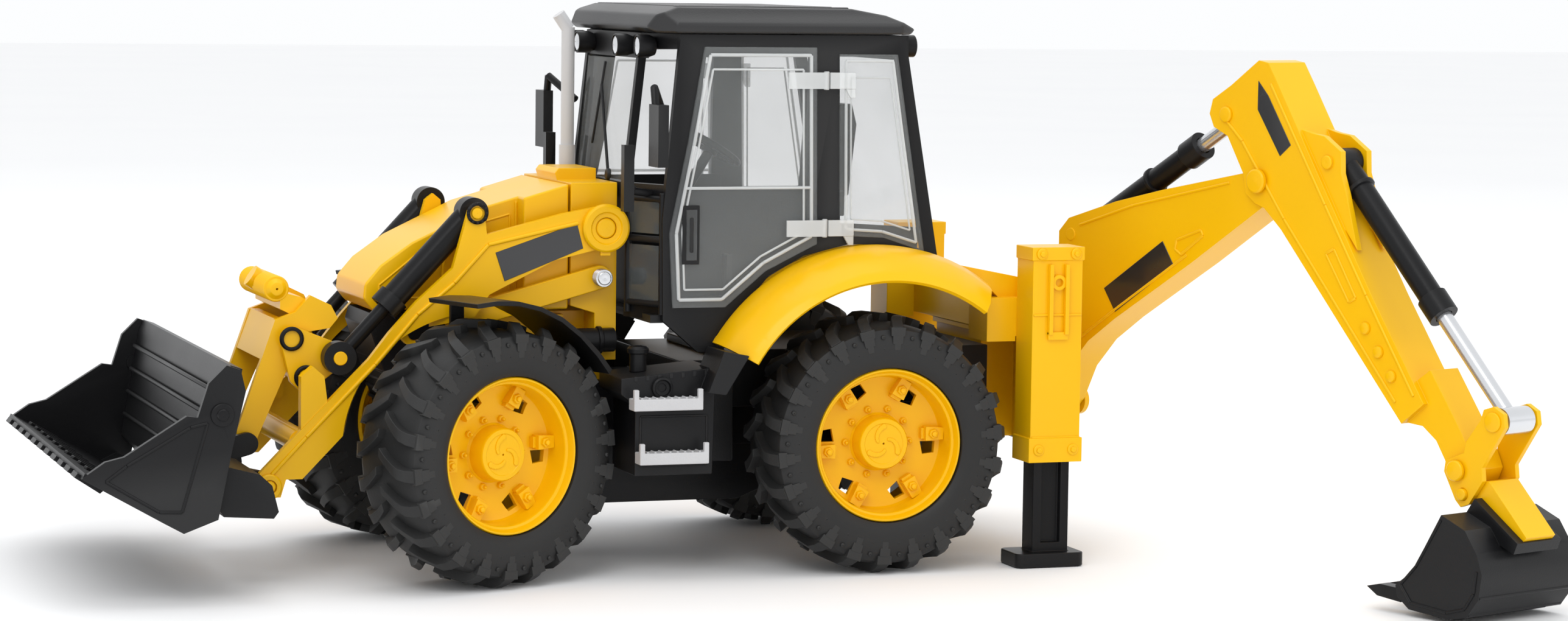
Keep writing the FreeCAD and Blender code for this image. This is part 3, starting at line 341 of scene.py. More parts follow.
# --- the moulded parts, with their edges rounded -----------------------------------------
# slot: material, edge rounding and the nodes that take them
PLAIN = {
    "yellow": (YELLOW, 0.5, [
        "loader_tower", "bonnet", "loader_arms", "lift_stays", "bell_cranks", "tilt_link",
        "rear_fenders", "rear_frame", "stabiliser_casings", "kingpost", "boom", "dipper",
        "bucket_lever", "hitch_coupler"]),
    "black": (BLACK, 0.45, [
        "chassis_frame", "rear_axle", "front_axle", "steering_knuckle_left",
        "steering_knuckle_right", "front_fender_left", "front_fender_right", "tie_rod",
        "radiator_grille", "cab_side_left", "cab_side_right", "cab_cross_frame", "driver_seat",
        "steering_console", "steering_wheel", "mirrors", "step_boxes", "stabiliser_leg_left",
        "stabiliser_leg_right", "tilt_ram_barrels", "tilt_ram_rods", "bucket_back",
        "bucket_clam", "kingpost_carriage", "dipper_ram_barrel", "bucket_ram_barrel",
        "digging_bucket"]),
    "silver": (SILVER, 0.3, ["dipper_ram_rod", "bucket_ram_rod"]),
    "grey": (GREY, 0.4, ["step_treads"]),
    "clear": (CLEAR, 0.3, [
        "quarter_windows", "rear_window", "door_left", "door_right", "windscreen"]),
}


def rounded(node, material, width):
    """Copy of a CAD node with merged faces and rounded edges; it stands for the node."""
    mesh = frame["nodes"][node].data.copy()
    mesh.name = node + "_finished"
    shape = bmesh.new()
    shape.from_mesh(mesh)
    bmesh.ops.remove_doubles(shape, verts=shape.verts, dist=MERGE)
    bmesh.ops.dissolve_limit(shape, angle_limit=FLAT, verts=shape.verts, edges=shape.edges)
    shape.to_mesh(mesh)
    shape.free()
    mesh.transform(frame["nodes"][node].matrix_world)
    return finished(mesh, node + "_finished", BODY_OF[node], material, [node], bevel=width)


# Nodes with softer edges than their slot's own
SOFT = {"bonnet": 2.6, "mirrors": 1.5, "loader_tower": 1.2, "rear_fenders": 0.9,
        "driver_seat": 3.0, "stabiliser_casings": 0.9, "boom": 1.0, "dipper": 0.8,
        "hitch_coupler": 1.0}
MERGE, FLAT = 2e-6, math.radians(0.6)       # vertices (metres) and faces taken as one


def moulded_parts():
    """Every moulded node's finished copy."""
    for slot, (material, width, nodes) in PLAIN.items():
        for node in nodes:
            rounded(node, material, SOFT.get(node, width))
    rounded("cab_roof", ROOF_BLACK, 2.2)
    rounded("exhaust_stack", PIPE, 0.4)


# --- wheels -------------------------------------------------------------------------------
def lug(shape, turn, side):
    """One raised bar of the tread: it runs from the middle to the shoulder, bending back."""
    rows = []
    for step in range(LUG_STATIONS):
        share = step / (LUG_STATIONS - 1)
        across = side * (0.8 + 17.2 * share)
        lean = LUG_BEND * (1 - (1 - share) ** 1.7) + turn
        top = TYRE_R - 3.6 * max(0.0, share - 0.72) / 0.28
        foot = 2.1 + 1.1 * share
        crown = foot * 0.72
        section = (-foot, LUG_FOOT_R), (-crown, top), (crown, top), (foot, LUG_FOOT_R)
        row = []
        for offset, radius in section:
            angle = lean + offset / TYRE_R
            row.append(shape.verts.new((radius * math.sin(angle), across,
                                        radius * math.cos(angle))))
        rows.append(row)
    faces = [shape.faces.new(rows[0]), shape.faces.new(list(reversed(rows[-1])))]
    for here, there in zip(rows, rows[1:]):
        faces += between(shape, here, there)
    bmesh.ops.recalc_face_normals(shape, faces=faces)


TYRE_PROFILE = [(28.1, -16.4), (31, -17.9), (34, -18.7), (38, -18.9), (41.5, -18.2), (44.2, -16.8),
                (45.4, -14), (45.9, -7), (46.0, 0), (45.9, 7), (45.4, 14), (44.2, 16.8),
                (41.5, 18.2), (38, 18.9), (34, 18.7), (31.4, 17.9), (29.6, 16.6), (29.5, 14.8),
                (28.1, 13.0)]


def build_tyre(shape):
    """Turned casing with two rows of lugs, half a pitch apart."""
    turning(shape, TYRE_PROFILE, (0, 0, 0), steps=132)
    for side in (-1, 1):
        for index in range(LUGS):
            turn = math.tau / LUGS * (index + 0.25 * side)
            lug(shape, turn, side)
            shoulder(shape, turn + LUG_BEND, side)


def shoulder(shape, turn, side):
    """Foot of a lug that runs down over the shoulder, with two small nubs beside it."""
    tall, inner_side, nub_side = 1.7, 16.0, 17.6
    for radius, half, depth in ((43.6, 2.9, 18.9), (40.6, 2.1, 19.0), (38.2, 1.3, 18.98)):
        before, after = turn - half / radius, turn + half / radius
        ring = [(radius - tall, before), (radius - tall, after), (radius + tall, after),
                (radius + tall, before)]
        outline = [(r * math.sin(a), r * math.cos(a)) for r, a in ring]
        low, high = sorted((side * inner_side, side * depth))
        prism(shape, outline, low, high)
    middle = turn + math.pi / LUGS
    for radius, size in ((41.6, 0.9), (37.2, 0.7)):
        centre = (radius * math.sin(middle), side * nub_side, radius * math.cos(middle))
        button(shape, centre, (0, side, 0), size, 1.2, steps=10)


RIM_PROFILE = [(26.3, -16.4), (27.9, -16.4), (27.9, 13.0), (29.2, 14.4), (29.3, 15.3), (28.9, 15.9),
               (28.3, 15.9), (27.9, 15.1), (27.3, 13.4), (26.5, 13.0), (26.1, 12.2), (25.8, 6.0),
               (25.0, 4.2), (22.0, 3.2), (14.0, 2.6), (11.2, 2.7), (10.4, 3.5), (10.0, 9.6),
               (9.4, 10.5), (7.9, 10.6), (7.6, 10.2), (0.4, 10.3), (0.4, 8.1), (3.05, 8.0),
               (3.05, -0.9), (12.5, -0.9), (12.6, 1.2), (25.2, 1.3), (26.2, 1.2)]


def build_rim(shape):
    """Deep dish with a double lip and a drum-shaped hub standing up from its disc."""
    turning(shape, RIM_PROFILE, (0, 0, 0), steps=120)


def turned_since(shape, start, matrix):
    """Moves everything drawn after the first start vertices."""
    shape.verts.ensure_lookup_table()
    bmesh.ops.transform(shape, matrix=matrix, verts=shape.verts[start:])


def build_rim_details(shape):
    """Clamps against the barrel, bolts round the hub and curls on its cap."""
    outward = (0, 1, 0)
    for index in range(CLAMPS):
        start = len(shape.verts)
        prism(shape, [(18.4, -5.6), (25.6, -5.2), (25.6, -0.6), (18.4, -0.2)], 3.0, 7.2)
        prism(shape, [(17.2, -5.0), (19.0, -5.0), (19.0, -0.8), (17.2, -0.8)], 2.6, 5.4)
        button(shape, (21.4, 7.0, -2.9), outward, 2.0, 1.3, steps=6)
        button(shape, (21.4, 8.0, -2.9), outward, 1.1, 1.3, steps=14)
        turned_since(shape, start, Matrix.Rotation(math.tau / CLAMPS * index, 4, "Y"))
    for index in range(BOLTS):
        angle = math.tau / BOLTS * (index + 0.5)
        place = (BOLT_CIRCLE_R * math.sin(angle), 2.4, BOLT_CIRCLE_R * math.cos(angle))
        button(shape, place, outward, 1.35, 1.5, steps=14)
        button(shape, place, outward, 0.7, 2.8, steps=12)
    for index in range(CURLS):
        for step in range(CURL_STEPS):
            angle = math.tau / CURLS * index + step * 0.15
            radius = 6.6 - step * 0.5
            button(shape, (radius * math.sin(angle), 10.1, radius * math.cos(angle)), outward,
                   1.15 - step * 0.06, 0.6, steps=12)


def window_cutters(shape):
    """Small openings through the rim's disc, one beside each clamp."""
    for index in range(CLAMPS):
        start = len(shape.verts)
        prism(shape, [(17.6, 0.4), (23.4, 0.4), (23.0, 4.8), (18.6, 5.4)], -0.5, 8.0)
        turned_since(shape, start, Matrix.Rotation(math.tau / CLAMPS * index, 4, "Y"))


def cut_rim():
    """Rim mesh in working millimetres, with its windows cut through."""
    objects = []
    for build in (build_rim, window_cutters):
        shape = bmesh.new()
        build(shape)
        mesh = bpy.data.meshes.new(build.__name__)
        shape.to_mesh(mesh)
        shape.free()
        objects.append(bpy.data.objects.new(build.__name__, mesh))
        bpy.context.scene.collection.objects.link(objects[-1])
    dish, cutter = objects
    cut = dish.modifiers.new("windows", "BOOLEAN")
    cut.object = cutter
    cut.operation = "DIFFERENCE"
    cut.solver = "EXACT"
    graph = bpy.context.evaluated_depsgraph_get()
    result = bpy.data.meshes.new_from_object(dish.evaluated_get(graph))
    for extra in objects:
        bpy.data.objects.remove(extra)
    return result


def wheel_frame(joint, side):
    """Wheel's own frame: its centre, and +Y along the axle towards the outside."""
    out = Vector(joint["axis"]) * side
    up = Vector((0, 0, 1))
    along = out.cross(up).normalized()
    turn = Matrix((along, out, up)).transposed().to_4x4()
    return Matrix.Translation(Vector(joint["pos_m"])) @ turn @ Matrix.Scale(MM, 4)


def wheels():
    """Four tyres and rims, each on its own axle."""
    dish = cut_rim()
    for end in ("rear", "front"):
        for side_name, side in (("left", 1), ("right", -1)):
            name = end + "_" + side_name
            body = "wheel_" + name
            place = wheel_frame(JOINTS["spin_" + name], side)
            piece("tyre_" + name + "_tread", body, RUBBER, build_tyre, place, bevel=0.35,
                  replaces=["tyre_" + name])
            rim_mesh = dish.copy()
            rim_mesh.transform(place)
            finished(rim_mesh, "rim_" + name + "_dish", body, YELLOW, ["rim_" + name],
                     bevel=0.25)
            piece("rim_" + name + "_bolts", body, YELLOW, build_rim_details, place,
                  bevel=0.25)


# --- stage --------------------------------------------------------------------------------
def stage_material():
    """Matt, nearly white floor paint."""
    material, nodes, links, shader = new_material("floor_paint")
    place = nodes.new("ShaderNodeTexCoord")
    drift = noise(nodes, links, place, STAGE_SCALE)
    colour = mixed(nodes, links, drift, (0.93, 0.93, 0.94), (0.96, 0.96, 0.96))
    links.new(colour, shader.inputs["Base Color"])
    shader.inputs["Roughness"].default_value = 0.8
    return material


def stage():
    """Pale floor, even sky and four soft lamps."""
    shape = bmesh.new()
    bmesh.ops.create_grid(shape, x_segments=2, y_segments=2, size=FLOOR_SIZE)
    mesh = bpy.data.meshes.new("floor")
    shape.to_mesh(mesh)
    shape.free()
    mesh.materials.append(stage_material())
    floor = bpy.data.objects.new("floor", mesh)
    floor.location.z = -FLOOR_DROP
    bpy.context.scene.collection.objects.link(floor)
    world = bpy.data.worlds.new("studio")
    world.use_nodes = True
    sky = world.node_tree.nodes["Background"]
    sky.inputs["Color"].default_value = (0.98, 0.99, 1.0, 1)
    sky.inputs["Strength"].default_value = 1.0
    bpy.context.scene.world = world
    bpy.context.scene.view_settings.view_transform = "Standard"
    for name, place, size, power in LIGHTS:
        data = bpy.data.lights.new(name, "AREA")
        data.size = size
        data.energy = power
        lamp = bpy.data.objects.new(name, data)
        lamp.location = place
        lamp.rotation_euler = (LIGHT_AIM - Vector(place)).to_track_quat("-Z", "Y").to_euler()
        bpy.context.scene.collection.objects.link(lamp)


def camera():
    """Long lens from the toy's front left, a little above axle height."""
    azimuth, elevation = math.radians(CAMERA_AZIMUTH), math.radians(CAMERA_ELEVATION)
    back = Vector((math.sin(azimuth) * math.cos(elevation),
                   math.cos(azimuth) * math.cos(elevation), math.sin(elevation)))
    eye = CAMERA_FOCUS + back * CAMERA_DISTANCE
    data = bpy.data.cameras.new("camera")
    data.sensor_width = SENSOR
    data.lens = LENS
    data.clip_start = CLIP_START
    view = bpy.data.objects.new("camera", data)
    look = (CAMERA_FOCUS - eye).to_track_quat("-Z", "Y").to_matrix().to_4x4()
    roll = Matrix.Rotation(math.radians(CAMERA_ROLL), 4, "Z")
    view.matrix_world = Matrix.Translation(BASE @ eye) @ look @ roll
    bpy.context.scene.collection.objects.link(view)
    bpy.context.scene.camera = view


# --- cab details ----------------------------------------------------------------------------
DOOR_RIB = [(78.4, 104), (79.6, 129), (73, 162), (66.8, 196), (26.8, 196), (25.8, 127.5),
            (45, 117.6), (61.4, 104)]
QUARTER_RIB = [(12.6, 194), (-6.4, 194), (-17, 124.6), (-3, 129), (11.8, 130)]


def rib_line(shape, points, y, radius, closed=True, steps=10):
    """Raised round rib that follows an outline on a side face."""
    ahead = points[1:] + points[:1] if closed else points[1:]
    for start, end in zip(points, ahead):
        bar(shape, beside(start, y), beside(end, y), radius, steps)


def drawn_in(points, step):
    """An outline shrunk towards its middle by a share."""
    cx = sum(point[0] for point in points) / len(points)
    cz = sum(point[1] for point in points) / len(points)
    return [(x + (cx - x) * step, z + (cz - z) * step) for x, z in points]


def door_ribs(shape):
    """Double rib round the door and the rail across it."""
    rib_line(shape, DOOR_RIB, CAB_HALF + 1.9, 0.7)
    rib_line(shape, drawn_in(DOOR_RIB, 0.10), CAB_HALF + 1.9, 0.45)
    rib_line(shape, [(26.6, 146), (76.5, 146)], CAB_HALF + 1.9, 0.6, closed=False)


def door_lock(shape):
    """Lock plate with its pull bar."""
    block(shape, (70.6, CAB_HALF + 1.8, 117.4), (77.4, CAB_HALF + 2.5, 139.6))
    block(shape, (73.4, CAB_HALF + 3.4, 122), (74.8, CAB_HALF + 3.9, 135))


def hinge_barrels(shape):
    """Hinge barrels and straps on the door."""
    for z in HINGE_HEIGHTS:
        top = z + BARREL_TALL
        bar(shape, (HINGE_X, CAB_HALF + 1.8, z), (HINGE_X, CAB_HALF + 1.8, top), 1.1)
        block(shape, (HINGE_X, CAB_HALF + 2.0, z + LEAF_GAP), (36, CAB_HALF + 3.0, top - LEAF_GAP))


def hinge_leaves(shape):
    """The hinges' fixed leaves on the cab's middle post, each with a small gusset."""
    for z in HINGE_HEIGHTS:
        foot = z + LEAF_GAP
        block(shape, (9, CAB_HALF + 1.5, foot), (19.2, CAB_HALF + 2.9, z + BARREL_TALL - LEAF_GAP))
        prism(shape, [(9, z - 3), (11, z - 3), (13, foot), (9, foot)],
              CAB_HALF + 1.5, CAB_HALF + 2.7)


def cab_lining(shape):
    """Dark lower inside walls behind the doors' solid lower half."""
    prism(shape, [(25, 126), (44, 117), (60, 102), (78, 101), (80, 128), (78.6, 145), (25, 145)],
          50.0, 51.4)
    prism(shape, [(-20, 122), (12, 126), (12, 132), (-21, 130)], 54.0, 55.0)


def quarter_ribs(shape):
    """Double rib round the rear quarter window."""
    rib_line(shape, QUARTER_RIB, CAB_HALF + 1.5, 0.6)
    rib_line(shape, drawn_in(QUARTER_RIB, 0.16), CAB_HALF + 1.5, 0.4)


def wiper(shape):
    """Windscreen wiper: arm, blade and pivot cap."""
    bar(shape, (94.0, 20, 149.5), (91.6, 2, 183), 0.6)
    bar(shape, (93.4, -4, 160), (90.6, 4, 192), 0.5)
    button(shape, (93.6, 20.5, 149.2), (1, 0, 0.1), 2.2, 1.4)


def side_glass(shape):
    """Two small smoky panes between the cab's front corner and the tower."""
    for low, high in ((103, 124), (128.5, 140.6)):
        corners = [(85.3, 56.6, low), (92.3, 41.9, low), (92.3, 41.9, high), (85.3, 56.6, high)]
        front = [shape.verts.new(Vector(corner) - SIDE_OUT * 0.5) for corner in corners]
        rear = [shape.verts.new(Vector(corner) - SIDE_OUT * 1.7) for corner in corners]
        faces = [shape.faces.new(front), shape.faces.new(list(reversed(rear)))]
        faces += between(shape, rear, front)
        bmesh.ops.recalc_face_normals(shape, faces=faces)


def side_frame(shape):
    """Bars round the two small side panes."""
    posts = (84.6, 58.1), (92.8, 40.8)
    for z in (102, 126.3, 141.6):
        ends = [Vector((x, y, z)) - SIDE_OUT for x, y in posts]
        bar(shape, *ends, 1.3)
    for x, y in posts:
        bar(shape, Vector((x, y, 98)) - SIDE_OUT, Vector((x, y, 144)) - SIDE_OUT, 1.3)


# Work lamps: the back of each cup, and the way it faces along X
LAMPS = ((86.6, 26, 198.8, 1), (83.4, 44, 198.8, 1), (-14.4, 44, 199.4, -1))


def lamp_cups(shape):
    """Round housings of the work lamps."""
    for x, y, z, lead in LAMPS:
        profile = [(0.4, 0), (3.4, 0), (4.3, 2.4), (4.3, 7.0), (3.8, 7.2), (3.6, 6.2), (0.4, 6.0)]
        turning(shape, profile, (x, y, z), (lead, 0, 0), steps=32)


def lamp_lenses(shape):
    """Eight-sided reflectors inside the housings."""
    for x, y, z, lead in LAMPS:
        profile = [(0.2, 6.1), (3.5, 6.3), (3.4, 6.9), (1.8, 7.4), (0.2, 7.5)]
        turning(shape, profile, (x, y, z), (lead, 0, 0), steps=8)


def roof_marks(shape):
    """Raised panels and stiffening ribs on the roof's top."""
    for x0, x1 in ((12, 40), (46, 74)):
        block(shape, (x0, -44, 213.0), (x1, 44, 214.2))
    for y in (-50, 50):
        block(shape, (8, y - 1.2, 212.6), (78, y + 1.2, 214.1))


# --- loader details ----------------------------------------------------------------------------
def arm_crease(shape):
    """Raised bead along the arm's side."""
    points = [(112, 132), (147, 124.2), (160, 110), (174, 98.4), (190, 80), (216, 53.6), (229, 40)]
    rib_line(shape, points, ARM_FACE, 0.8, closed=False, steps=14)


def arm_bosses(shape):
    """Round bosses where the arm pivots and where it holds the bucket."""
    face = ARM_FACE - 0.1
    turning(shape, [(4.2, 0), (9.0, 0), (9.2, 2.0), (8.4, 2.7), (6.2, 2.7), (5.8, 1.8), (4.2, 1.8)],
            beside(ARM_PIVOT, face), steps=48)
    block(shape, (99.6, face, 119.6), (103.6, face + 1.3, 124))
    turning(shape, [(2.7, 0), (4.8, 0), (4.8, 1.1), (4.2, 1.6), (2.7, 1.6)],
            beside(BUCKET_PIN, face), steps=36)


def arm_pins(shape):
    """Pin heads in the arm's bosses and ears."""
    for pin, radius, height in ((ARM_PIVOT, 3.9, 1.8), (BUCKET_PIN, 2.4, 1.6), (EAR_PIN, 2.2, 1.2)):
        button(shape, beside(pin, ARM_FACE - 0.2), (0, 1, 0), radius, height)


def eye_rings(shape):
    """Ribbed black ring round each tilt ram pin at the top of the arm's ears."""
    turning(shape, [(2.9, 0), (4.0, 0), (4.2, 0.9), (3.4, 1.4), (2.9, 1.4)],
            beside(EAR_PIN, ARM_FACE - 0.1), steps=30)
    ribs, ring = 12, 3.6
    for index in range(ribs):
        angle = math.tau * index / ribs
        offset = Vector((ring * math.sin(angle), 0, ring * math.cos(angle)))
        button(shape, beside(EAR_PIN, ARM_FACE + 1.1) + offset, (0, 1, 0), 0.5, 0.5, steps=8)


def arm_sticker(shape):
    """Plain dark patch on the arm's side."""
    prism(shape, [(144.3, 121.2), (112.6, 131.9), (110.1, 122.4), (140.7, 110.4)],
          ARM_FACE - 0.05, ARM_FACE + 0.25)


def ram_hoses(shape):
    """Moulded pipe along the top of each tilt ram's barrel."""
    bar(shape, (155, 33.4, 137.4), (184, 33.4, 104.4), 0.9)


def crank_rings(shape):
    """Raised rings round the bell cranks' pins."""
    for pin in CRANK_PINS:
        turning(shape, [(3.1, 0), (4.6, 0), (4.6, 0.9), (4.0, 1.4), (3.1, 1.4)],
                beside(pin, CRANK_FACE), steps=30)


def grip_ribs(shape):
    """Ribbed cross handle on the tilt link."""
    ribs, pitch = 19, 2.5
    for index in range(ribs):
        y = (index - (ribs - 1) / 2) * pitch
        turning(shape, [(0.5, -0.7), (4.6, -0.7), (5.0, 0), (4.6, 0.7), (0.5, 0.7)],
                beside(HANDLE, y), steps=30)
    turning(shape, [(0.4, -25), (2.4, -24.8), (3.9, -23.2), (4.2, -20), (4.2, 20), (3.9, 23.2),
                    (2.4, 24.8), (0.4, 25)], beside(HANDLE, 0), steps=40)


def bucket_marks(shape):
    """Ribs along the loader bucket's back wall, inside."""
    for step in range(4):
        x, z = 257.8 + step * 1.35, 76 - step * 9
        bar(shape, (x, -86, z), (x, 86, z), 0.8)


def jaw_marks(shape):
    """Stiffening rib and hinge boss on the jaw's side plate."""
    rib = [(262.4, 66), (271.5, 34.5), (279.6, 34.8), (298.4, 46.2), (291, 51.6), (268.6, 64.6)]
    rib_line(shape, rib, JAW_FACE + 0.1, 0.6)
    button(shape, beside(JAW_PIN, JAW_FACE), (0, 1, 0), 4.2, 1.2)
    button(shape, beside(JAW_PIN, JAW_FACE + 1.0), (0, 1, 0), 2.2, 0.9)


def jaw_grooves(shape):
    """Slanted bosses between the teeth, on top of the cutting edge."""
    count, pitch, x, z = 12, 15.2, 289, 40.3
    tilt, skew = math.radians(-31), math.radians(22)
    for index in range(count):
        y = (index - (count - 1) / 2) * pitch
        start = len(shape.verts)
        block(shape, (x, y - 1.1, z - 0.7), (x + 14, y + 1.1, z + 0.7))
        turned_since(shape, start,
                     Matrix.Translation((x, y, z)) @ Matrix.Rotation(tilt, 4, "Y")
                     @ Matrix.Rotation(skew, 4, "Z") @ Matrix.Translation((-x, -y, -z)))


# --- bonnet, tower, steps, stabilisers -----------------------------------------------------------
def bonnet_seams(shape):
    """Seam across the bonnet's side and the rib round its side panel."""
    bar(shape, (131.6, BONNET_FACE + 0.2, 100), (131.6, BONNET_FACE + 0.2, 139), 0.5)
    panel = [(134, 103), (184, 103), (184.6, 108), (170, 119.6), (144, 131.6), (134, 134.4)]
    rib_line(shape, panel, BONNET_FACE, 0.45)


def hood_cylinder(shape):
    """Black cylinder beside the tower's foot, with a collar."""
    y, z, radius = 36.6, 87, 4.6
    bar(shape, (96, y, z), (111, y, z), radius, steps=30)
    turning(shape, [(radius, 0), (5.3, 0.4), (5.3, 1.8), (radius, 2.2)], (101, y, z), (1, 0, 0),
            steps=30)


def spring_hub(shape):
    """Silver coils and cap on the stay's pivot."""
    x, z = 102, 111
    for step in range(5):
        turning(shape, [(2.4, 0), (3.4, 0.2), (3.4, 0.8), (2.4, 1.0)], (x, 38.0 + step * 1.1, z),
                steps=24)
    button(shape, (x, 43.2, z), (0, 1, 0), 2.6, 0.9)


def grille_bars(shape):
    """Slats across the leaning radiator grille."""
    for step in range(8):
        x, z = 178 + step * 1.1, 62 + step * 4.2
        bar(shape, (x, -19, z), (x, 19, z), 0.7)


def box_marks(shape):
    """Screw boss, ledge ribs and filler ring on the side box."""
    turning(shape, [(1.6, 0), (4.0, 0), (4.0, 1.6), (3.2, 2.0), (2.8, 0.8), (1.6, 0.7)],
            (88.2, 72.8, 72.3), steps=30)
    for step in range(7):
        x, z = 70 + step * 4.6, 76.6 - step * 0.3
        block(shape, (x, 70.6, z), (x + 1.4, 73.2, z + 1.8))
    rib_line(shape, [(70.4, 43), (96.4, 43), (96.4, 61.6), (70.4, 61.6)], 73.0, 0.5)
    turning(shape, [(1.4, 0), (4.0, 0), (4.2, 1.6), (3.2, 2.6), (1.4, 2.8)], (93, 58, 84),
            (0, 0, 1), steps=30)


def tread_ribs(shape):
    """Non-slip ribs on the two step treads."""
    for x0, z in ((77.4, 68.8), (74.9, 48.6)):
        for step in range(8):
            x = x0 + step * 2.9
            bar(shape, (x, 73.8, z), (x, 79.4, z), 0.5)


def stabiliser_latch(shape):
    """Latch rails, knob, corner screws and two cross beads on the stabiliser's casing."""
    face = CASING_FACE
    for x in (LATCH_X - 3.3, LATCH_X + 3.3):
        block(shape, (x - 0.8, face, 90), (x + 0.8, face + 2.2, 117))
    block(shape, (LATCH_X - 4.1, face, 88), (LATCH_X + 4.1, face + 1.4, 91))
    turning(shape, [(1.6, 0), (3.0, 0), (3.0, 1.6), (1.6, 1.8)], (LATCH_X, face - 0.1, 110),
            steps=28)
    for x in (LATCH_X - 7.1, LATCH_X + 7.1):
        for z in (121, 45.4):
            button(shape, (x, face + 0.6, z), (0, 1, 0), 2.2, 0.9)
            button(shape, (x, face + 1.4, z), (0, 1, 0), 1.2, 0.9, steps=6)
    for z, radius in ((97.5, 0.5), (50.2, 0.4)):
        bar(shape, (LATCH_X - 9.9, face + 0.1, z), (LATCH_X + 9.9, face + 0.1, z), radius)


def leg_ribs(shape):
    """Rack of small ribs on the sliding leg's outer side."""
    for step in range(6):
        z = 12 + step * 5
        block(shape, (-72.2, 71.6, z), (-64.8, 74.0, z + 1.4))


# --- backhoe details: (reach, side, height), drawn on the arm's own straight line -----------------
def boom_marks(shape):
    """Raised key shape and beads on the boom's sides."""
    key = [(83.4, 122.4), (86.8, 120.4), (98.4, 128.6), (97.2, 130.6), (84.4, 126)]
    for side in (-BOOM_HALF, BOOM_HALF):
        rib_line(shape, key, side, 0.6)
        rib_line(shape, [(30, 128.6), (60, 138), (112, 149.6)], side, 0.6, closed=False)
        rib_line(shape, [(32, 84), (52, 97), (90, 120.6)], side, 0.6, closed=False)


def sticker(shape, outline, half):
    """Plain dark patch on both side faces of a beam of that half width."""
    for side in (-1, 1):
        low, high = sorted((side * (half - 0.04), side * (half + 0.25)))
        prism(shape, outline, low, high)


def pin_heads(shape, pin, y, radius, height, dome=0.3):
    """The same domed head on both sides."""
    for side in (-1, 1):
        button(shape, beside(pin, side * y), (0, side, 0), radius, height, dome=dome)


def boom_sticker(shape):
    sticker(shape, [(44.6, 104.4), (76.7, 125.1), (83.1, 115.9), (51.1, 95.4)], BOOM_HALF)


def dipper_sticker(shape):
    sticker(shape, [(127.6, 189), (133, 183.4), (145, 165.4), (139.6, 161), (127.6, 178)],
            DIPPER_HALF)


def boom_pins(shape):
    """Pins at the dipper's two ends."""
    pin_heads(shape, BOOM_TOP, 10.9, 4.6, 1.8)
    pin_heads(shape, BUCKET_HINGE, 10.8, 3.8, 1.6)


def foot_pins(shape):
    """Pin at the boom's foot."""
    pin_heads(shape, BOOM_FOOT, 10.7, 3.6, 1.5)


def dipper_marks(shape):
    """Rivets, ram pins and beads on the dipper's sides."""
    for rivet in ((184.6, 99.9), (191.2, 91.7), (197.7, 83.3)):
        pin_heads(shape, rivet, DIPPER_HALF, 2.3, 1.2, dome=0.6)
    pin_heads(shape, DIPPER_RAM[1], DIPPER_HALF, 3.0, 1.3)
    pin_heads(shape, BUCKET_RAM[0], 8.6, 2.6, 1.2)
    for y in (-DIPPER_HALF, DIPPER_HALF):
        rib_line(shape, [(109.7, 174.7), (120, 165.8), (142.5, 137.6), (200, 74)], y, 0.7,
                 closed=False)
        rib_line(shape, [(134, 188), (163, 144), (184.4, 112), (208.6, 77)], y, 0.7, closed=False)
        rib_line(shape, [(164, 126), (168, 128), (179.4, 110.6), (176, 108.8)], y, 0.6)


def lever_marks(shape):
    """Pins of the digging bucket's lever."""
    pin_heads(shape, BUCKET_RAM[1], 10.1, 3.6, 1.1)
    pin_heads(shape, LEVER_PIN, 10.7, 2.2, 0.9)


def bands(shape, ram, distances):
    """Raised rings round a ram's barrel, at distances from its foot."""
    foot, eye = (beside(end, 0) for end in ram)
    unit = (eye - foot).normalized()
    for distance in distances:
        turning(shape, [(4.4, 0), (5.6, 0.3), (5.6, 1.7), (4.4, 2.0)], foot + unit * distance,
                unit, steps=30)


def ram_bands(shape):
    bands(shape, BUCKET_RAM, (11.84, 66.6, 71.78))


def dipper_ram_bands(shape):
    bands(shape, DIPPER_RAM, (44, 67, 71))


def dig_marks(shape):
    """Beads round the digging bucket's sides and across its back."""
    rim = [(237, 36.4), (226, 18.4), (219, 11), (224, 5), (240.7, 3.6), (249, 6), (253, 12),
           (254, 20)]
    for y in (-DIG_HALF, DIG_HALF):
        rib_line(shape, rim, y, 0.6, closed=False)
    for r, z in ((243, 1.6), (250, 3.8), (254.9, 10.4)):
        bar(shape, (r, -25.4, z), (r, 25.4, z), 0.6)


# Extra pieces: name, body, material, slot and how each is drawn
ON_BOTH_SIDES = (
    ("quarter_ribs", "machine", EDGE, "clear", quarter_ribs),
    ("hinge_leaves", "machine", EDGE, "clear", hinge_leaves),
    ("cab_lining", "machine", BLACK, "black", cab_lining),
    ("side_glass", "machine", SMOKY, "clear", side_glass),
    ("side_frame", "machine", BLACK, "black", side_frame),
    ("spring_hub", "stays", SILVER, "silver", spring_hub),
    ("hood_cylinder", "machine", BLACK, "black", hood_cylinder),
    ("box_marks", "machine", BLACK, "black", box_marks),
    ("tread_ribs", "machine", GREY, "grey", tread_ribs),
    ("latch", "machine", YELLOW, "yellow", stabiliser_latch),
    ("arm_crease", "arms", YELLOW, "yellow", arm_crease),
    ("arm_bosses", "arms", YELLOW, "yellow", arm_bosses),
    ("arm_pins", "arms", YELLOW, "yellow", arm_pins),
    ("eye_rings", "arms", BLACK, "black", eye_rings),
    ("arm_sticker", "arms", STICKER, "black", arm_sticker),
    ("crank_rings", "cranks", BLACK, "black", crank_rings),
    ("ram_hoses", "ram_barrels", BLACK, "black", ram_hoses),
    ("jaw_marks", "clam", BLACK, "black", jaw_marks),
    ("bonnet_seams", "bonnet", YELLOW, "yellow", bonnet_seams),
)
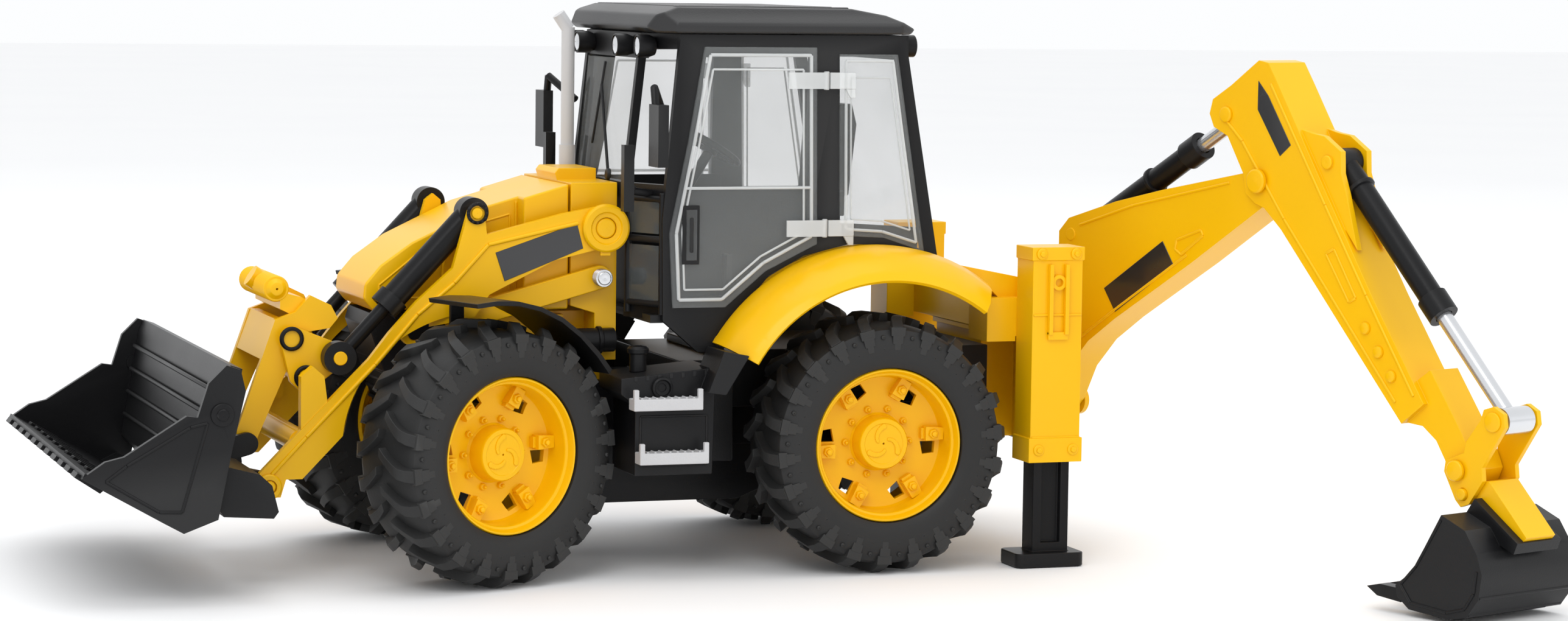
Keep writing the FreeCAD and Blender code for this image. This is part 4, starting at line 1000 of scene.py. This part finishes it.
ON_THE_BACKHOE = (
    ("boom_marks", "boom", YELLOW, "yellow", boom_marks),
    ("boom_sticker", "boom", STICKER, "black", boom_sticker),
    ("boom_pins", "dipper", YELLOW, "yellow", boom_pins),
    ("dipper_sticker", "dipper", STICKER, "black", dipper_sticker),
    ("foot_pins", "kingpost", BLACK, "black", foot_pins),
    ("dipper_marks", "dipper", YELLOW, "yellow", dipper_marks),
    ("lever_marks", "digger", YELLOW, "yellow", lever_marks),
    ("ram_bands", "bucket_ram_barrel", BLACK, "black", ram_bands),
    ("dipper_ram_bands", "dipper_ram_barrel", BLACK, "black", dipper_ram_bands),
    ("dig_marks", "digger", BLACK, "black", dig_marks),
)


def details():
    """The extra pieces, each riding on the body it is moulded to."""
    for side_name, side in (("left", 1), ("right", -1)):
        place = BASE @ Matrix.Scale(side, 4, (0, 1, 0))
        door, leg = "door_" + side_name, "leg_" + side_name
        piece("door_ribs_" + side_name, door, EDGE, door_ribs, place)
        piece("door_lock_" + side_name, door, BLACK, door_lock, place, bevel=0.3)
        piece("door_barrels_" + side_name, door, EDGE, hinge_barrels, place)
        piece("leg_ribs_" + side_name, leg, BLACK, leg_ribs, place, bevel=0.3)
    for name, body, material, slot, build in ON_BOTH_SIDES:
        edge = 0.0 if build is side_glass else 0.2
        piece(name, body, material, build, both_sides=True, bevel=edge)
    piece("lamp_cups", "machine", BLACK, lamp_cups, both_sides=True, bevel=0.2,
          replaces=["work_lights"])
    piece("lamp_lenses", "machine", SILVER, lamp_lenses, both_sides=True)
    piece("wiper", "machine", BLACK, wiper)
    piece("roof_marks", "machine", ROOF_BLACK, roof_marks, bevel=0.5)
    piece("grille_bars", "machine", BLACK, grille_bars)
    piece("grip_ribs", "link", YELLOW, grip_ribs, bevel=0.15)
    piece("bucket_marks", "bucket", BLACK, bucket_marks)
    piece("jaw_grooves", "clam", BLACK, jaw_grooves, bevel=0.3)
    for name, body, material, slot, build in ON_THE_BACKHOE:
        piece(name, body, material, build, BACK, bevel=0.15)


moulded_parts()
wheels()
details()
stage()
camera()
